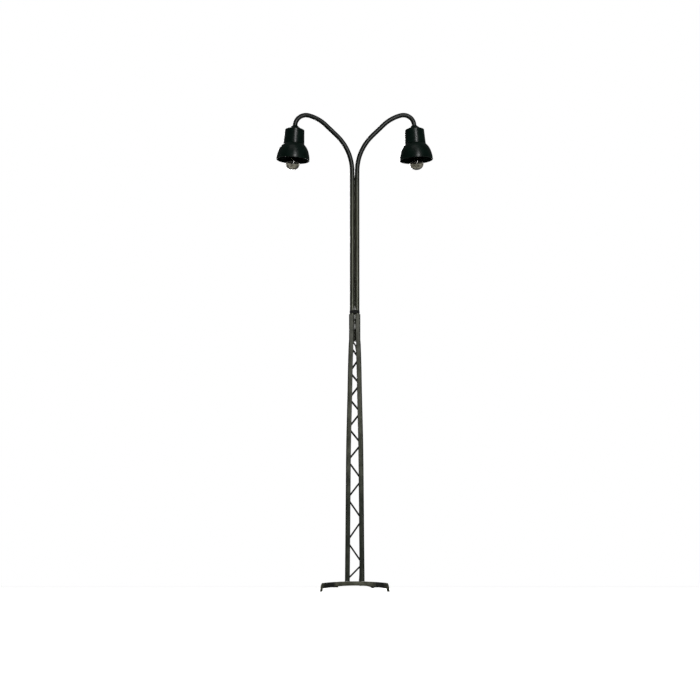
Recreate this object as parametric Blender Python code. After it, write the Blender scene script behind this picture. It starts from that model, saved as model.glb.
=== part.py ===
"""Model-railway twin-arm lattice-mast lamp, HO scale.

Two channel-section posts laced with zigzag strips stand on a stamped,
arched base plate.  Two brass tubes rise from the mast head, part in two
swan-neck arms and carry a bell-shaped lamp head each.  Each head is a
moulded housing with a press-on shade, a brass socket and a plug-in
grain-of-wheat bulb that pulls out along the head's own axis.

Sizes are in millimetres; the built objects are in metres, +Z up.
Origin: centre of the plane that the four feet stand on.  The arms point
along +X and -X, the front faces -Y.
"""
import math

import bmesh
import bpy
import numpy as np
from mathutils import Vector

MM = 0.001
SIDES = ((-1, "left"), (1, "right"))
GAP = 0.02                 # clearance between neighbouring pieces

# ---------------------------------------------------------------- base plate
SHEET = 0.45               # thickness of the stamped sheet
PLATE_HALF_X = 8.10
PLATE_HALF_Y = 5.50
PLATE_TOP_MID = 2.52       # top of the arch above the feet
PLATE_TOP_END = 2.10       # top of the plate at its two ends
EDGE_MID, EDGE_END = 1.04, 1.40   # height of the turned-down long edges
ARCH_STEPS = 12
HOLLOW_STRETCH = 1.06      # the hollow runs out past the plate's ends
HOLLOW_DEPTH = 2.0
CUT_LOW, CUT_HIGH = 0.5, 3.0      # levels that clear the plate below and above

LUG_INNER_Y = 3.50
LUG_ROOT_X = 7.62          # where a lug begins inside the plate's end
LUG_ROOT_DROP = 0.10
LUG_KNEE_X = 8.26
LUG_KNEE_OUTER_Z, LUG_KNEE_INNER_Z = 1.55, 1.20
LUG_FOOT_X = 8.46          # outer edge of a foot

ROUND_STEPS = 16           # sides of the cups and holes
SCREW_X = 5.60             # screw cups on the long axis
SCREW_HOLE_R = 0.65
CUP_R, CUP_WALL, CUP_FLOOR = 1.25, 0.33, 1.50
CUP_TOP_DROP = 0.2         # outside of the cup ends below the plate's top
CABLE_HOLE_X, CABLE_HOLE_R = 1.20, 0.70
SLOT_CLEARANCE, SLOT_LOW = 0.03, 1.0
NOTCH_HALF_X, NOTCH_TOP = 0.62, 1.79
NOTCH_INWARD, NOTCH_OUTWARD = 0.7, 0.5    # reach of the cut from the rear edge

# ---------------------------------------------------------------------- mast
CH_DEPTH = 1.90            # channel depth, front to rear
CH_T = 0.17                # channel sheet
CH_FLANGE = 1.10           # flange width at the mast's head
CH_FLANGE_LOW = 1.20       # flange width below the tubes
FLANGE_CHANGE_Z = 61.0
# (height above the feet, half width over the two webs)
MAST = ((68.54, 1.410), (62.20, 1.410), (60.30, 1.530), (55.10, 1.690),
        (49.20, 1.800), (43.20, 1.945), (37.20, 2.085), (31.30, 2.165),
        (25.40, 2.215), (19.50, 2.265), (13.50, 2.310), (7.60, 2.365),
        (2.53, 2.410))
POST_FOOT_Z, POST_FOOT_X = MAST[-1]
TAB_HALF_Y = 0.60          # web tab through the plate
TAB_BELOW, TAB_OVERLAP = 0.35, 0.1        # reach under the plate, into the web

# heights of the lacing apexes, foot to head, first one at the left post
APEX = (2.85, 6.78, 12.25, 17.56, 22.79, 27.34, 32.07, 36.20, 40.17, 44.02,
        47.50, 50.99, 54.14, 57.52, 60.37)
LACE_W, LACE_T = 0.36, 0.15
LACE_INSET = 0.46          # apex centre inside the web's outer face
LACE_BLUNT = 0.14          # blunt outer corner beyond the apex centre

# ---------------------------------------------------------------------- arms
TUBE_R, BORE_R = 0.59, 0.38
TUBE_STEPS = 12
TUBE_X = 0.60              # each tube's distance from the mast's axis
TUBE_Z0, TUBE_Z1 = 61.75, 104.96          # ends of the upright run
PART_Z0, PART_Z1, PART_X = 103.30, 104.30, 0.03   # tubes ease apart by PART_X
# (bend radius, angle in degrees, straight run after the bend)
BENDS = ((12.88, 45.686, 3.90), (9.775, 29.401, 0.0), (2.712, 101.513, 0.0))
BEND_STEP = 9.0            # degrees for each segment of a bend
LEAN = math.radians(3.40)  # lean of a head, lower end outwards
NECK_Z = 116.77            # top of a head
TUBE_IN_HEAD = 1.30

BAND_Z0, BAND_Z1, BAND_T = 68.78, 69.55, 0.06
BAND_ARC_STEPS = 8

# -------------------------------------------------------------------- solder
# (name, front-to-rear sign, bottom, top, outer face, half width, shoulder);
# face and shoulder are distances from the mast's middle plane
CH_INSIDE = CH_DEPTH / 2 - CH_T - GAP
VALLEY_SOLDERS = (
    ("neck_solder_front", 1, 69.62, 70.81, TUBE_R + 0.06, 0.36, 0.56),
    ("neck_solder_rear", -1, 69.62, 70.81, TUBE_R + 0.06, 0.36, 0.56),
    ("mast_solder_front", 1, 64.55, 68.50, CH_INSIDE, 0.46, 0.60),
    ("mast_solder_rear", -1, 64.55, 68.50, CH_INSIDE, 0.46, 0.60),
)
VALLEY_YS = (0.16, 0.30, 0.42, 0.50)      # where the tube's curve is followed
VALLEY_MIN_X = 0.012       # keeps the two halves of the outline apart
VALLEY_TAPER = 0.96        # outer face width over shoulder width
# (distance outside the web, distance below the plate's underside)
FOOT_SOLDER = ((GAP, GAP + 0.01), (GAP, 0.33), (0.14, 0.26), (0.36, 0.07))
FOOT_SOLDER_HALF_Y = 0.55

# --------------------------------------------------------------------- heads
# Turned outlines: (radius, distance down the head's axis)
HOUSING = ((0.62, 0.0), (0.70, 0.0), (0.85, 0.20), (1.20, 0.49), (1.64, 0.77),
           (2.12, 0.99), (2.35, 1.15), (2.44, 1.38), (2.49, 2.30),
           (2.64, 4.86), (2.20, 4.86), (2.20, 6.00), (1.75, 6.00),
           (1.75, 2.12), (1.00, 2.12), (1.00, 1.52), (0.62, 1.52))
SHADE = ((2.23, 4.89), (2.69, 4.89), (2.84, 5.07), (3.10, 5.37), (3.43, 5.85),
         (3.71, 6.42), (3.90, 7.00), (4.05, 7.60), (4.16, 8.25), (4.21, 9.00),
         (4.01, 9.00), (3.95, 8.28), (3.83, 7.66), (3.68, 7.08), (3.50, 6.52),
         (3.25, 6.02), (2.94, 5.62), (2.60, 5.46), (2.23, 5.44))
CONTACT_DISC = ((0.36, 2.16), (1.72, 2.16), (1.72, 2.55), (0.36, 2.55))
CONTACT_RIVET = ((0.0, 1.92), (0.32, 1.92), (0.32, 2.57), (0.66, 2.57),
                 (0.60, 2.76), (0.0, 2.80))
SOCKET = ((1.38, 2.58), (1.72, 2.58), (1.72, 5.30), (1.48, 5.46), (1.38, 5.30))
BULB_SHELL = ((0.62, 3.02), (1.20, 3.02), (1.35, 3.18), (1.35, 5.80),
              (1.22, 5.80), (1.22, 3.16), (0.62, 3.16))
BULB_INSULATOR = ((0.33, 3.19), (1.19, 3.19), (1.19, 3.60), (0.33, 3.60))
BULB_TIP = ((0.0, 2.84), (0.34, 2.88), (0.50, 3.02), (0.50, 3.16), (0.30, 3.16),
            (0.30, 3.90), (0.0, 3.90))
BEAD = ((0.0, 6.30), (0.34, 6.32), (0.52, 6.48), (0.52, 6.72), (0.34, 6.88),
        (0.0, 6.90))

# (name, outline, steps round the axis, finish)
HEAD_PARTS = (("lamp_housing", HOUSING, 20, "enamel"),
              ("lamp_shade", SHADE, 24, "enamel"),
              ("contact_disc", CONTACT_DISC, 16, "fibre"),
              ("contact_rivet", CONTACT_RIVET, 12, "brass"),
              ("socket_sleeve", SOCKET, 16, "brass"))
BULB_PARTS = (("bulb_shell", BULB_SHELL, 16, "brass"),
              ("bulb_insulator", BULB_INSULATOR, 12, "fibre"),
              ("bulb_tip_contact", BULB_TIP, 10, "solder"))

# Blown glass, each wall from its rim to where the dome starts
GLASS_STEPS = 16
DOME_START = 9.71
DOME_POWER = 0.87          # below 1 makes the dome blunt
GLASS_OUTER = ((1.02, 4.10), (1.18, 4.10), (1.18, 5.86), (1.40, 6.12), (1.58, 6.50),
               (1.66, 7.00), (1.73, 8.50), (1.76, DOME_START))
GLASS_INNER = ((1.02, 6.00), (1.26, 6.28), (1.42, 6.62), (1.49, 7.04),
               (1.54, 8.40), (1.58, DOME_START))
# (radius, rise, angles of the stations in degrees, depth of the tip)
OUTER_DOME = (1.76, 1.75, (20, 40, 58, 74, 84), 11.48)
INNER_DOME = (1.58, 1.55, (25, 50, 74), 11.26)

# Filament and its leads: (x, distance down the head's axis)
LEAD_X = 0.26              # spacing of the leads from the axis in the bead
LEAD_FROM_TIP = ((0.0, 3.93), (0.0, 4.30), (-0.20, 5.20), (-LEAD_X, 6.00),
                 (-LEAD_X, 7.10), (-0.50, 8.60))
LEAD_TO_SHELL = ((0.50, 8.60), (LEAD_X, 7.10), (LEAD_X, 6.00), (0.55, 5.30),
                 (0.90, 4.60), (0.94, 4.02))
ARCH_HALF_X, ARCH_START, ARCH_RISE, FILAMENT_STEPS = 0.62, 9.30, 0.42, 8
FILAMENT_R = 0.05
BEAD_HOLE_R, BEAD_HOLE_TOP, BEAD_HOLE_END = 0.09, 6.0, 7.2

# --------------------------------------------------------------------- wires
WIRE_R = 0.20
WIRE_STEPS = 6
SLEEVE_X, SLEEVE_Z = 4.47, 1.37
SLEEVE_R, SLEEVE_BORE = 0.56, 0.44
SLEEVE_STEPS = 12
SLEEVE_Y0, SLEEVE_Y1 = 3.00, 5.00
WIRE_BEFORE_SLEEVE = 0.05
# (x, z) of each wire from the sleeve's axis
LEFT_IN_SLEEVE = (0.0, -0.235)
RIGHT_IN_SLEEVE = (-0.204, 0.118)
RETURN_IN_SLEEVE = (0.204, 0.118)
WIRE_IN_HEAD = (1.88, 1.20)               # distances down the head's axis

# Both feed wires run down inside the right post.
POST_ENTRY_ZS = (58.8, 57.0)
POST_RUN_ZS = (53.5, 46.6, 34.7, 21.4, 9.7, 7.0)
# "y" and "inset" place the wire in the post, inset from the web's outer face;
# "entry" leads from the tube into the post, "floor" from the post to the sleeve
FEED_WIRES = {
    "left": {
        "y": -0.30, "inset": 1.04, "in_sleeve": LEFT_IN_SLEEVE,
        "entry": ((-TUBE_X, 0, 62.6), (-0.50, -0.03, 61.90), (-0.30, -0.10, 61.45),
                  (0.0, -0.20, 61.0), (0.27, -0.27, 60.5), (0.37, -0.30, 59.9)),
        "floor": ((1.28, -0.27, 4.0), (1.24, -0.20, 2.8), (1.36, -0.04, 1.96),
                  (1.70, 0.52, 1.70), (2.30, 1.10, 1.66), (3.10, 1.52, 1.54),
                  (3.80, 1.88, 1.36), (4.32, 2.40, 1.17)),
    },
    "right": {
        "y": 0.30, "inset": 0.42, "in_sleeve": RIGHT_IN_SLEEVE,
        "entry": ((TUBE_X, 0, 62.2), (TUBE_X, 0.04, 61.40), (0.66, 0.16, 60.7),
                  (0.92, 0.27, 59.9)),
        "floor": ((1.56, 0.30, 4.9), (1.26, 0.36, 3.4), (1.15, 0.38, 2.06),
                  (1.22, 0.84, 1.64), (1.80, 1.60, 1.62), (2.65, 2.10, 1.60),
                  (3.50, 2.42, 1.54)),
    },
}
RETURN_WIRE = ((7.05, 2.75, 1.48), (6.40, 2.45, 1.48), (5.60, 2.30, 1.48),
               (5.00, 2.45, 1.48))

# ------------------------------------------------------------------ finishes
# name: (linear RGBA colour, roughness, metallic)
FINISHES = {
    "enamel": ((0.013, 0.020, 0.018, 1), 0.42, 0.0),
    "olive": ((0.045, 0.046, 0.036, 1), 0.38, 0.6),
    "mast": ((0.030, 0.032, 0.026, 1), 0.45, 0.6),
    "base": ((0.040, 0.040, 0.032, 1), 0.50, 0.6),
    "solder": ((0.300, 0.300, 0.280, 1), 0.35, 1.0),
    "brass": ((0.560, 0.400, 0.150, 1), 0.28, 1.0),
    "black": ((0.010, 0.010, 0.009, 1), 0.60, 0.0),
    "fibre": ((0.180, 0.110, 0.060, 1), 0.70, 0.0),
    "glass": ((0.850, 0.850, 0.820, 1), 0.05, 0.0),
    "bead": ((0.350, 0.420, 0.350, 1), 0.15, 0.0),
    "tungsten": ((0.250, 0.250, 0.260, 1), 0.35, 1.0),
    "sleeve": ((0.008, 0.008, 0.008, 1), 0.55, 0.0),
    "wire": ((0.016, 0.015, 0.012, 1), 0.40, 0.0),
}


# ------------------------------------------------------------ scene helpers
def clear_scene():
    for ob in list(bpy.data.objects):
        bpy.data.objects.remove(ob, do_unlink=True)


def add_empty(name, location=(0, 0, 0), turn_y=0.0, parent=None):
    ob = bpy.data.objects.new(name, None)
    ob.empty_display_size = 0.003
    bpy.context.scene.collection.objects.link(ob)
    ob.parent = parent
    ob.location = Vector(location) * MM
    ob.rotation_euler = (0.0, turn_y, 0.0)
    return ob


def add_mesh(name, bm, parent):
    """Turn a bmesh in millimetres into an object in metres."""
    bmesh.ops.recalc_face_normals(bm, faces=bm.faces[:])
    bmesh.ops.scale(bm, vec=(MM, MM, MM), verts=bm.verts[:])
    mesh = bpy.data.meshes.new(name)
    bm.to_mesh(mesh)
    bm.free()
    ob = bpy.data.objects.new(name, mesh)
    bpy.context.scene.collection.objects.link(ob)
    ob.parent = parent
    return ob


def make_material(name, finish):
    colour, roughness, metallic = FINISHES[finish]
    material = bpy.data.materials.new(name)
    material.use_nodes = True
    shader = material.node_tree.nodes["Principled BSDF"]
    shader.inputs["Base Color"].default_value = colour
    shader.inputs["Roughness"].default_value = roughness
    shader.inputs["Metallic"].default_value = metallic
    material.diffuse_color = colour
    return material


def add_piece(name, bm, finish, parent=None, smooth=None):
    """Visible piece; `smooth` is the angle in degrees above which edges stay sharp."""
    ob = add_mesh(name, bm, parent)
    if smooth is not None:
        ob.data.shade_smooth()
        ob.data.set_sharp_from_angle(angle=math.radians(smooth))
    ob.data.materials.append(make_material(name + "_finish", finish))
    return ob


def combine(piece, operation, name, bm, parent=None):
    """Join a hidden helper to a piece, or cut it out of the piece."""
    helper = add_mesh(name, bm, parent)
    helper.hide_render = True
    helper.display_type = 'WIRE'
    mod = piece.modifiers.new(operation.lower() + "_" + name, 'BOOLEAN')
    mod.operation = operation
    mod.solver = 'EXACT'
    mod.object = helper


# ------------------------------------------------------------- mesh helpers
def place(a, b, height, axis):
    """Point (a, b) of an outline across `axis`, at a height along it."""
    return (a, height, b) if axis == 'Y' else (a, b, height)


def rectangle(a0, a1, b0, b1):
    return [(a0, b0), (a1, b0), (a1, b1), (a0, b1)]


def circle(centre_a, centre_b, radius, steps):
    return [(centre_a + radius * math.cos(math.tau * k / steps),
             centre_b + radius * math.sin(math.tau * k / steps)) for k in range(steps)]


def bridge(bm, ring, other):
    """Quads between two closed rings with equal numbers of vertices."""
    for k in range(len(ring)):
        j = (k + 1) % len(ring)
        bm.faces.new((ring[k], ring[j], other[j], other[k]))


def turned(profile, steps):
    """Profile of (radius, distance down the axis), spun about Z.

    A profile whose ends lie on the axis is left open there and closes on
    itself; any other profile is a ring.
    """
    bm = bmesh.new()
    points = [bm.verts.new((radius, 0.0, -depth)) for radius, depth in profile]
    edges = [bm.edges.new(pair) for pair in zip(points, points[1:])]
    on_axis = profile[0][0] == 0.0 and profile[-1][0] == 0.0
    if not on_axis:
        edges.append(bm.edges.new((points[-1], points[0])))
    bmesh.ops.spin(bm, geom=points + edges, cent=(0, 0, 0), axis=(0, 0, 1),
                   angle=math.tau, steps=steps, use_duplicate=False)
    bmesh.ops.remove_doubles(bm, verts=bm.verts[:], dist=1e-4)
    return bm


def prism(outline, start, end, axis):
    """Outline in the plane across `axis`, extruded from start to end."""
    bm = bmesh.new()
    face = bm.faces.new([bm.verts.new(place(a, b, start, axis)) for a, b in outline])
    geom = bmesh.ops.extrude_face_region(bm, geom=[face])["geom"]
    bmesh.ops.translate(bm, vec=Vector(place(0, 0, end - start, axis)),
                        verts=[v for v in geom if isinstance(v, bmesh.types.BMVert)])
    return bm


def ring_prism(outer, inner, start, end, axis):
    """Ring between two outlines with equal numbers of points."""
    bm = bmesh.new()
    rows = [[bm.verts.new(place(a, b, height, axis)) for a, b in outline]
            for outline, height in ((outer, start), (outer, end),
                                    (inner, end), (inner, start))]
    for row, following in zip(rows, rows[1:] + rows[:1]):
        bridge(bm, row, following)
    return bm


def cylinder(x, y, radius, z0, z1, steps):
    return prism(circle(x, y, radius, steps), z0, z1, 'Z')


def frames(path):
    """Tangents and parallel-transported normals along a path."""
    last = len(path) - 1
    tangents = [(path[min(i + 1, last)] - path[max(i - 1, 0)]).normalized()
                for i in range(len(path))]
    normals = []
    normal = Vector((0, 1, 0))
    for tangent in tangents:
        normal = (normal - tangent * normal.dot(tangent)).normalized()
        normals.append(normal)
    return tangents, normals


def swept(path, radius, steps, bore=None):
    """Round bar, or tube with a bore, along a path."""
    path = [Vector(p) for p in path]
    tangents, normals = frames(path)
    bm = bmesh.new()

    def skin_of(ring_radius):
        rings = []
        for centre, tangent, normal in zip(path, tangents, normals):
            across = tangent.cross(normal)
            rings.append([bm.verts.new(centre + (normal * a + across * b) * ring_radius)
                          for a, b in circle(0, 0, 1, steps)])
        for ring, following in zip(rings, rings[1:]):
            bridge(bm, ring, following)
        return rings

    skin = skin_of(radius)
    if bore is None:
        bm.faces.new(skin[0])
        bm.faces.new(list(reversed(skin[-1])))
    else:
        core = skin_of(bore)
        for end in (0, -1):
            bridge(bm, skin[end], core[end])
    return bm


def smooth_path(points, per_span=2):
    """Catmull-Rom curve through control points."""
    points = [Vector(p) for p in points]
    padded = [points[0] * 2 - points[1]] + points + [points[-1] * 2 - points[-2]]
    curve = [points[0]]
    for i in range(1, len(padded) - 2):
        p0, p1, p2, p3 = padded[i - 1:i + 3]
        for k in range(1, per_span + 1):
            t = k / per_span
            curve.append(0.5 * ((2 * p1) + (p2 - p0) * t
                                + (2 * p0 - 5 * p1 + 4 * p2 - p3) * t * t
                                + (3 * p1 - p0 - 3 * p2 + p3) * t ** 3))
    return curve


# -------------------------------------------------------------- shared shapes
def plate_top(x):
    return PLATE_TOP_MID - (PLATE_TOP_MID - PLATE_TOP_END) * (x / PLATE_HALF_X) ** 2


def edge_depth(x):
    return EDGE_MID + (EDGE_END - EDGE_MID) * (x / PLATE_HALF_X) ** 2


def mast_half(z):
    """Half width of the mast over its webs at height z."""
    heights, halves = zip(*reversed(MAST))
    return float(np.interp(z, heights, halves))


def arm_path():
    """Centreline of the right-hand tube, foot to neck, as (x, z)."""
    x, z, heading = TUBE_X + PART_X, TUBE_Z1, 0.0
    points = [(TUBE_X, TUBE_Z0), (TUBE_X, PART_Z0), (x, PART_Z1), (x, z)]
    for radius, angle, straight in BENDS:
        total = math.radians(angle)
        steps = round(angle / BEND_STEP)
        for k in range(1, steps + 1):
            turn = heading + total * k / steps
            points.append((x + radius * (math.cos(heading) - math.cos(turn)),
                           z + radius * (math.sin(turn) - math.sin(heading))))
        x, z = points[-1]
        heading += total
        if straight:
            x += straight * math.sin(heading)
            z += straight * math.cos(heading)
            points.append((x, z))
    points.append((x + (z - NECK_Z) * math.tan(LEAN), NECK_Z))
    return points


ARM = arm_path()
NECK_X = ARM[-1][0]
PLATE_UNDER_POST = plate_top(POST_FOOT_X) - SHEET   # plate's underside at a post


def in_head(side, distance):
    """Point at a distance down the axis of a head."""
    return (side * (NECK_X + distance * math.sin(LEAN)), 0.0,
            NECK_Z - distance * math.cos(LEAN))


# ---------------------------------------------------------------- base plate
def arched_plate():
    """Arched slab, hollowed from below and open at both ends."""
    xs = [PLATE_HALF_X * (2 * k / ARCH_STEPS - 1) for k in range(ARCH_STEPS + 1)]
    slab = [(x, plate_top(x)) for x in xs]
    slab += [(x, plate_top(x) - edge_depth(x)) for x in reversed(xs)]
    plate = add_piece("base_plate", prism(slab, -PLATE_HALF_Y, PLATE_HALF_Y, 'Y'),
                      "base")
    wide = [x * HOLLOW_STRETCH for x in xs]
    hollow = [(x, plate_top(x) - SHEET) for x in wide]
    hollow += [(x, plate_top(x) - SHEET - HOLLOW_DEPTH) for x in reversed(wide)]
    inner_y = PLATE_HALF_Y - SHEET
    combine(plate, 'DIFFERENCE', "cut_hollow", prism(hollow, -inner_y, inner_y, 'Y'))
    return plate


def add_lugs(plate):
    """Four bent-down lugs at the corners; their ends are the feet."""
    outline = ((LUG_ROOT_X, plate_top(LUG_ROOT_X) - LUG_ROOT_DROP),
               (PLATE_HALF_X, PLATE_TOP_END),
               (LUG_KNEE_X, LUG_KNEE_OUTER_Z), (LUG_FOOT_X, 0.0),
               (LUG_FOOT_X - SHEET, 0.0), (LUG_KNEE_X - SHEET, LUG_KNEE_INNER_Z))
    for side, word in SIDES:
        for depth_side, letter in ((-1, "f"), (1, "b")):
            lug = prism([(x * side, z) for x, z in outline],
                        LUG_INNER_Y * depth_side, PLATE_HALF_Y * depth_side, 'Y')
            combine(plate, 'UNION', "lug_" + word[0] + letter, lug)


def add_screw_cups(plate):
    for side, word in SIDES:
        boss = cylinder(side * SCREW_X, 0, CUP_R + CUP_WALL, CUP_FLOOR - SHEET,
                        plate_top(SCREW_X) - CUP_TOP_DROP, ROUND_STEPS)
        combine(plate, 'UNION', "cup_" + word[0], boss)
    for side, word in SIDES:
        x = side * SCREW_X
        cup = cylinder(x, 0, CUP_R, CUP_FLOOR, CUT_HIGH, ROUND_STEPS)
        combine(plate, 'DIFFERENCE', "cut_cup_" + word[0], cup)
        hole = cylinder(x, 0, SCREW_HOLE_R, CUT_LOW, CUT_HIGH, ROUND_STEPS)
        combine(plate, 'DIFFERENCE', "cut_screw_" + word[0], hole)


def cut_openings(plate):
    """Cable hole, slots for the posts' tabs and the notch in the rear edge."""
    hole = cylinder(CABLE_HOLE_X, 0, CABLE_HOLE_R, CUT_LOW, CUT_HIGH, ROUND_STEPS)
    combine(plate, 'DIFFERENCE', "cut_cable_hole", hole)
    half_y = TAB_HALF_Y + SLOT_CLEARANCE
    for side, word in SIDES:
        slot = rectangle(side * (POST_FOOT_X - CH_T - SLOT_CLEARANCE),
                         side * (POST_FOOT_X + SLOT_CLEARANCE), -half_y, half_y)
        combine(plate, 'DIFFERENCE', "cut_slot_" + word[0],
                prism(slot, SLOT_LOW, CUT_HIGH, 'Z'))
    notch = rectangle(SLEEVE_X - NOTCH_HALF_X, SLEEVE_X + NOTCH_HALF_X,
                      CUT_LOW, NOTCH_TOP)
    combine(plate, 'DIFFERENCE', "cut_notch",
            prism(notch, PLATE_HALF_Y - NOTCH_INWARD, PLATE_HALF_Y + NOTCH_OUTWARD, 'Y'))


def build_base():
    plate = arched_plate()
    add_lugs(plate)
    add_screw_cups(plate)
    cut_openings(plate)


# ---------------------------------------------------------------------- mast
def build_channel(side, name):
    """Post: web outside, flanges turned in towards the mast's axis."""
    outer_y = CH_DEPTH / 2
    inner_y = outer_y - CH_T
    bm = bmesh.new()
    rows = []
    for z, web in MAST:
        tip = web - (CH_FLANGE if z > FLANGE_CHANGE_Z else CH_FLANGE_LOW)
        section = ((web, -outer_y), (web, outer_y), (tip, outer_y), (tip, inner_y),
                   (web - CH_T, inner_y), (web - CH_T, -inner_y),
                   (tip, -inner_y), (tip, -outer_y))
        rows.append([bm.verts.new((side * x, y, z)) for x, y in section])
    for upper, lower in zip(rows, rows[1:]):
        bridge(bm, upper, lower)
    for row in (rows[0], rows[-1]):
        for corners in ((1, 2, 3, 4), (0, 1, 4, 5), (0, 5, 6, 7)):
            bm.faces.new([row[k] for k in corners])
    post = add_piece(name, bm, "mast")
    tab = rectangle(side * (POST_FOOT_X - CH_T), side * POST_FOOT_X,
                    -TAB_HALF_Y, TAB_HALF_Y)
    combine(post, 'UNION', "tab_" + name,
            prism(tab, PLATE_UNDER_POST - TAB_BELOW, POST_FOOT_Z + TAB_OVERLAP, 'Z'))


def lace_outline():
    """Zigzag strip between the posts, as a closed outline in X and Z."""
    sides = [-1 if k % 2 == 0 else 1 for k in range(len(APEX))]
    points = [Vector((side * (mast_half(z) - LACE_INSET), z))
              for side, z in zip(sides, APEX)]
    runs = [(b - a).normalized() for a, b in zip(points, points[1:])]
    normals = [Vector((-run.y, run.x)) for run in runs]
    half = LACE_W / 2
    left = [points[0] + normals[0] * half]
    right = [points[0] - normals[0] * half]
    for k in range(1, len(points) - 1):
        # the outer corner is blunt, the inner one runs to its mitre
        outer, inner, sign = (left, right, 1) if sides[k] < 0 else (right, left, -1)
        blunt_x = points[k].x + sides[k] * LACE_BLUNT
        for normal, run in zip(normals[k - 1:k + 1], runs[k - 1:k + 1]):
            base = points[k] + normal * (half * sign)
            outer.append(base + run * ((blunt_x - base.x) / run.x))
        middle = (normals[k - 1] + normals[k]).normalized()
        mitre = half / middle.dot(normals[k - 1])
        inner.append(points[k] - middle * (mitre * sign))
    left.append(points[-1] + normals[-1] * half)
    right.append(points[-1] - normals[-1] * half)
    return [(v.x, v.y) for v in left + right[::-1]]


def build_lacing(name, y0):
    add_piece(name, prism(lace_outline(), y0, y0 + LACE_T, 'Y'), "mast")


# ------------------------------------------------------- arms, band, solder
def build_arm(side, name):
    path = [(side * x, 0.0, z) for x, z in ARM]
    path.append(in_head(side, TUBE_IN_HEAD))
    add_piece(name, swept(path, TUBE_R, TUBE_STEPS, BORE_R), "olive", smooth=40)


def stadium(half_straight, radius):
    points = []
    for centre_x, start in ((half_straight, -90.0), (-half_straight, 90.0)):
        for k in range(BAND_ARC_STEPS + 1):
            angle = math.radians(start + 180.0 * k / BAND_ARC_STEPS)
            points.append((centre_x + radius * math.cos(angle),
                           radius * math.sin(angle)))
    return points


def build_band():
    """Band round both tubes, just above the posts."""
    inner_r = TUBE_R + GAP
    band = ring_prism(stadium(TUBE_X, inner_r + BAND_T), stadium(TUBE_X, inner_r),
                      BAND_Z0, BAND_Z1, 'Z')
    add_piece("binding_band", band, "black")


def valley(face, half, shoulder):
    """Solder in the groove between the two tubes, as (x, y), front side."""
    radius = TUBE_R + GAP
    points = [(min(math.sqrt(radius * radius - y * y) - TUBE_X, -VALLEY_MIN_X), -y)
              for y in VALLEY_YS]
    points += [(-half, -shoulder), (-half * VALLEY_TAPER, -face)]
    return points + [(-x, y) for x, y in reversed(points)]


def build_solders():
    for name, sign, z0, z1, face, half, shoulder in VALLEY_SOLDERS:
        outline = [(x, y * sign) for x, y in valley(face, half, shoulder)]
        add_piece(name, prism(outline, z0, z1, 'Z'), "solder")
    for side, word in SIDES:
        outline = [(side * (POST_FOOT_X + out), PLATE_UNDER_POST - below)
                   for out, below in FOOT_SOLDER]
        add_piece("foot_solder_" + word,
                  prism(outline, -FOOT_SOLDER_HALF_Y, FOOT_SOLDER_HALF_Y, 'Y'),
                  "solder")


# --------------------------------------------------------------------- heads
def domed_wall(wall, dome):
    """Wall outline from rim to tip, with its dome's stations added."""
    radius, rise, angles, tip = dome
    stations = [(radius * math.cos(math.radians(angle)) ** DOME_POWER,
                 DOME_START + rise * math.sin(math.radians(angle)) ** DOME_POWER)
                for angle in angles]
    return [*wall, *stations, (0.0, tip)]


def build_glass(tag, pull):
    """Glass: neck in the shell, body swelling to a blunt domed end."""
    bm = bmesh.new()
    rims = []
    for wall in (domed_wall(GLASS_OUTER, OUTER_DOME), domed_wall(GLASS_INNER, INNER_DOME)):
        rings = [[bm.verts.new((x, y, -depth))
                  for x, y in circle(0, 0, radius, GLASS_STEPS)]
                 for radius, depth in wall[:-1]]
        for ring, following in zip(rings, rings[1:]):
            bridge(bm, ring, following)
        tip = bm.verts.new((0, 0, -wall[-1][1]))
        last = rings[-1]
        for k in range(GLASS_STEPS):
            bm.faces.new((last[k], last[(k + 1) % GLASS_STEPS], tip))
        rims.append(rings[0])
    bridge(bm, *rims)
    add_piece("bulb_glass_" + tag, bm, "glass", pull, 40)


def build_bead(tag, pull):
    """Glass bead that holds the two leads apart."""
    bead = add_piece("bulb_bead_" + tag, turned(BEAD, 12), "bead", pull, 40)
    for side, letter in ((-1, "a"), (1, "b")):
        hole = cylinder(side * LEAD_X, 0, BEAD_HOLE_R, -BEAD_HOLE_END,
                        -BEAD_HOLE_TOP, 6)
        combine(bead, 'DIFFERENCE', "cut_bead_" + letter + "_" + tag, hole, pull)


def build_filament(tag, pull):
    """One lead from the tip, the filament's arch, the other lead to the shell."""
    arch = [(-ARCH_HALF_X, ARCH_START)]
    for k in range(1, FILAMENT_STEPS):
        angle = math.pi * k / FILAMENT_STEPS
        arch.append((-ARCH_HALF_X * math.cos(angle),
                     ARCH_START + ARCH_RISE * math.sin(angle)))
    arch.append((ARCH_HALF_X, ARCH_START))
    path = [(x, 0, -depth) for x, depth in (*LEAD_FROM_TIP, *arch, *LEAD_TO_SHELL)]
    add_piece("bulb_filament_" + tag, swept(path, FILAMENT_R, 6), "tungsten", pull, 60)


def build_head(side, tag):
    """Head on its leaning axis; the bulb's pieces hang on an empty of their own."""
    head = add_empty("head_axis_" + tag, (side * NECK_X, 0, NECK_Z), -side * LEAN)
    pull = add_empty("bulb_pull_" + tag, parent=head)
    for parts, parent in ((HEAD_PARTS, head), (BULB_PARTS, pull)):
        for name, outline, steps, finish in parts:
            add_piece(name + "_" + tag, turned(outline, steps), finish, parent, 35)
    build_glass(tag, pull)
    build_bead(tag, pull)
    build_filament(tag, pull)


# --------------------------------------------------------------------- wires
def sleeve_run(in_sleeve):
    """Straight end of a wire, through the sleeve to the plate's rear edge."""
    x, z = SLEEVE_X + in_sleeve[0], SLEEVE_Z + in_sleeve[1]
    return [(x, SLEEVE_Y0 - WIRE_BEFORE_SLEEVE, z), (x, PLATE_HALF_Y, z)]


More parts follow.
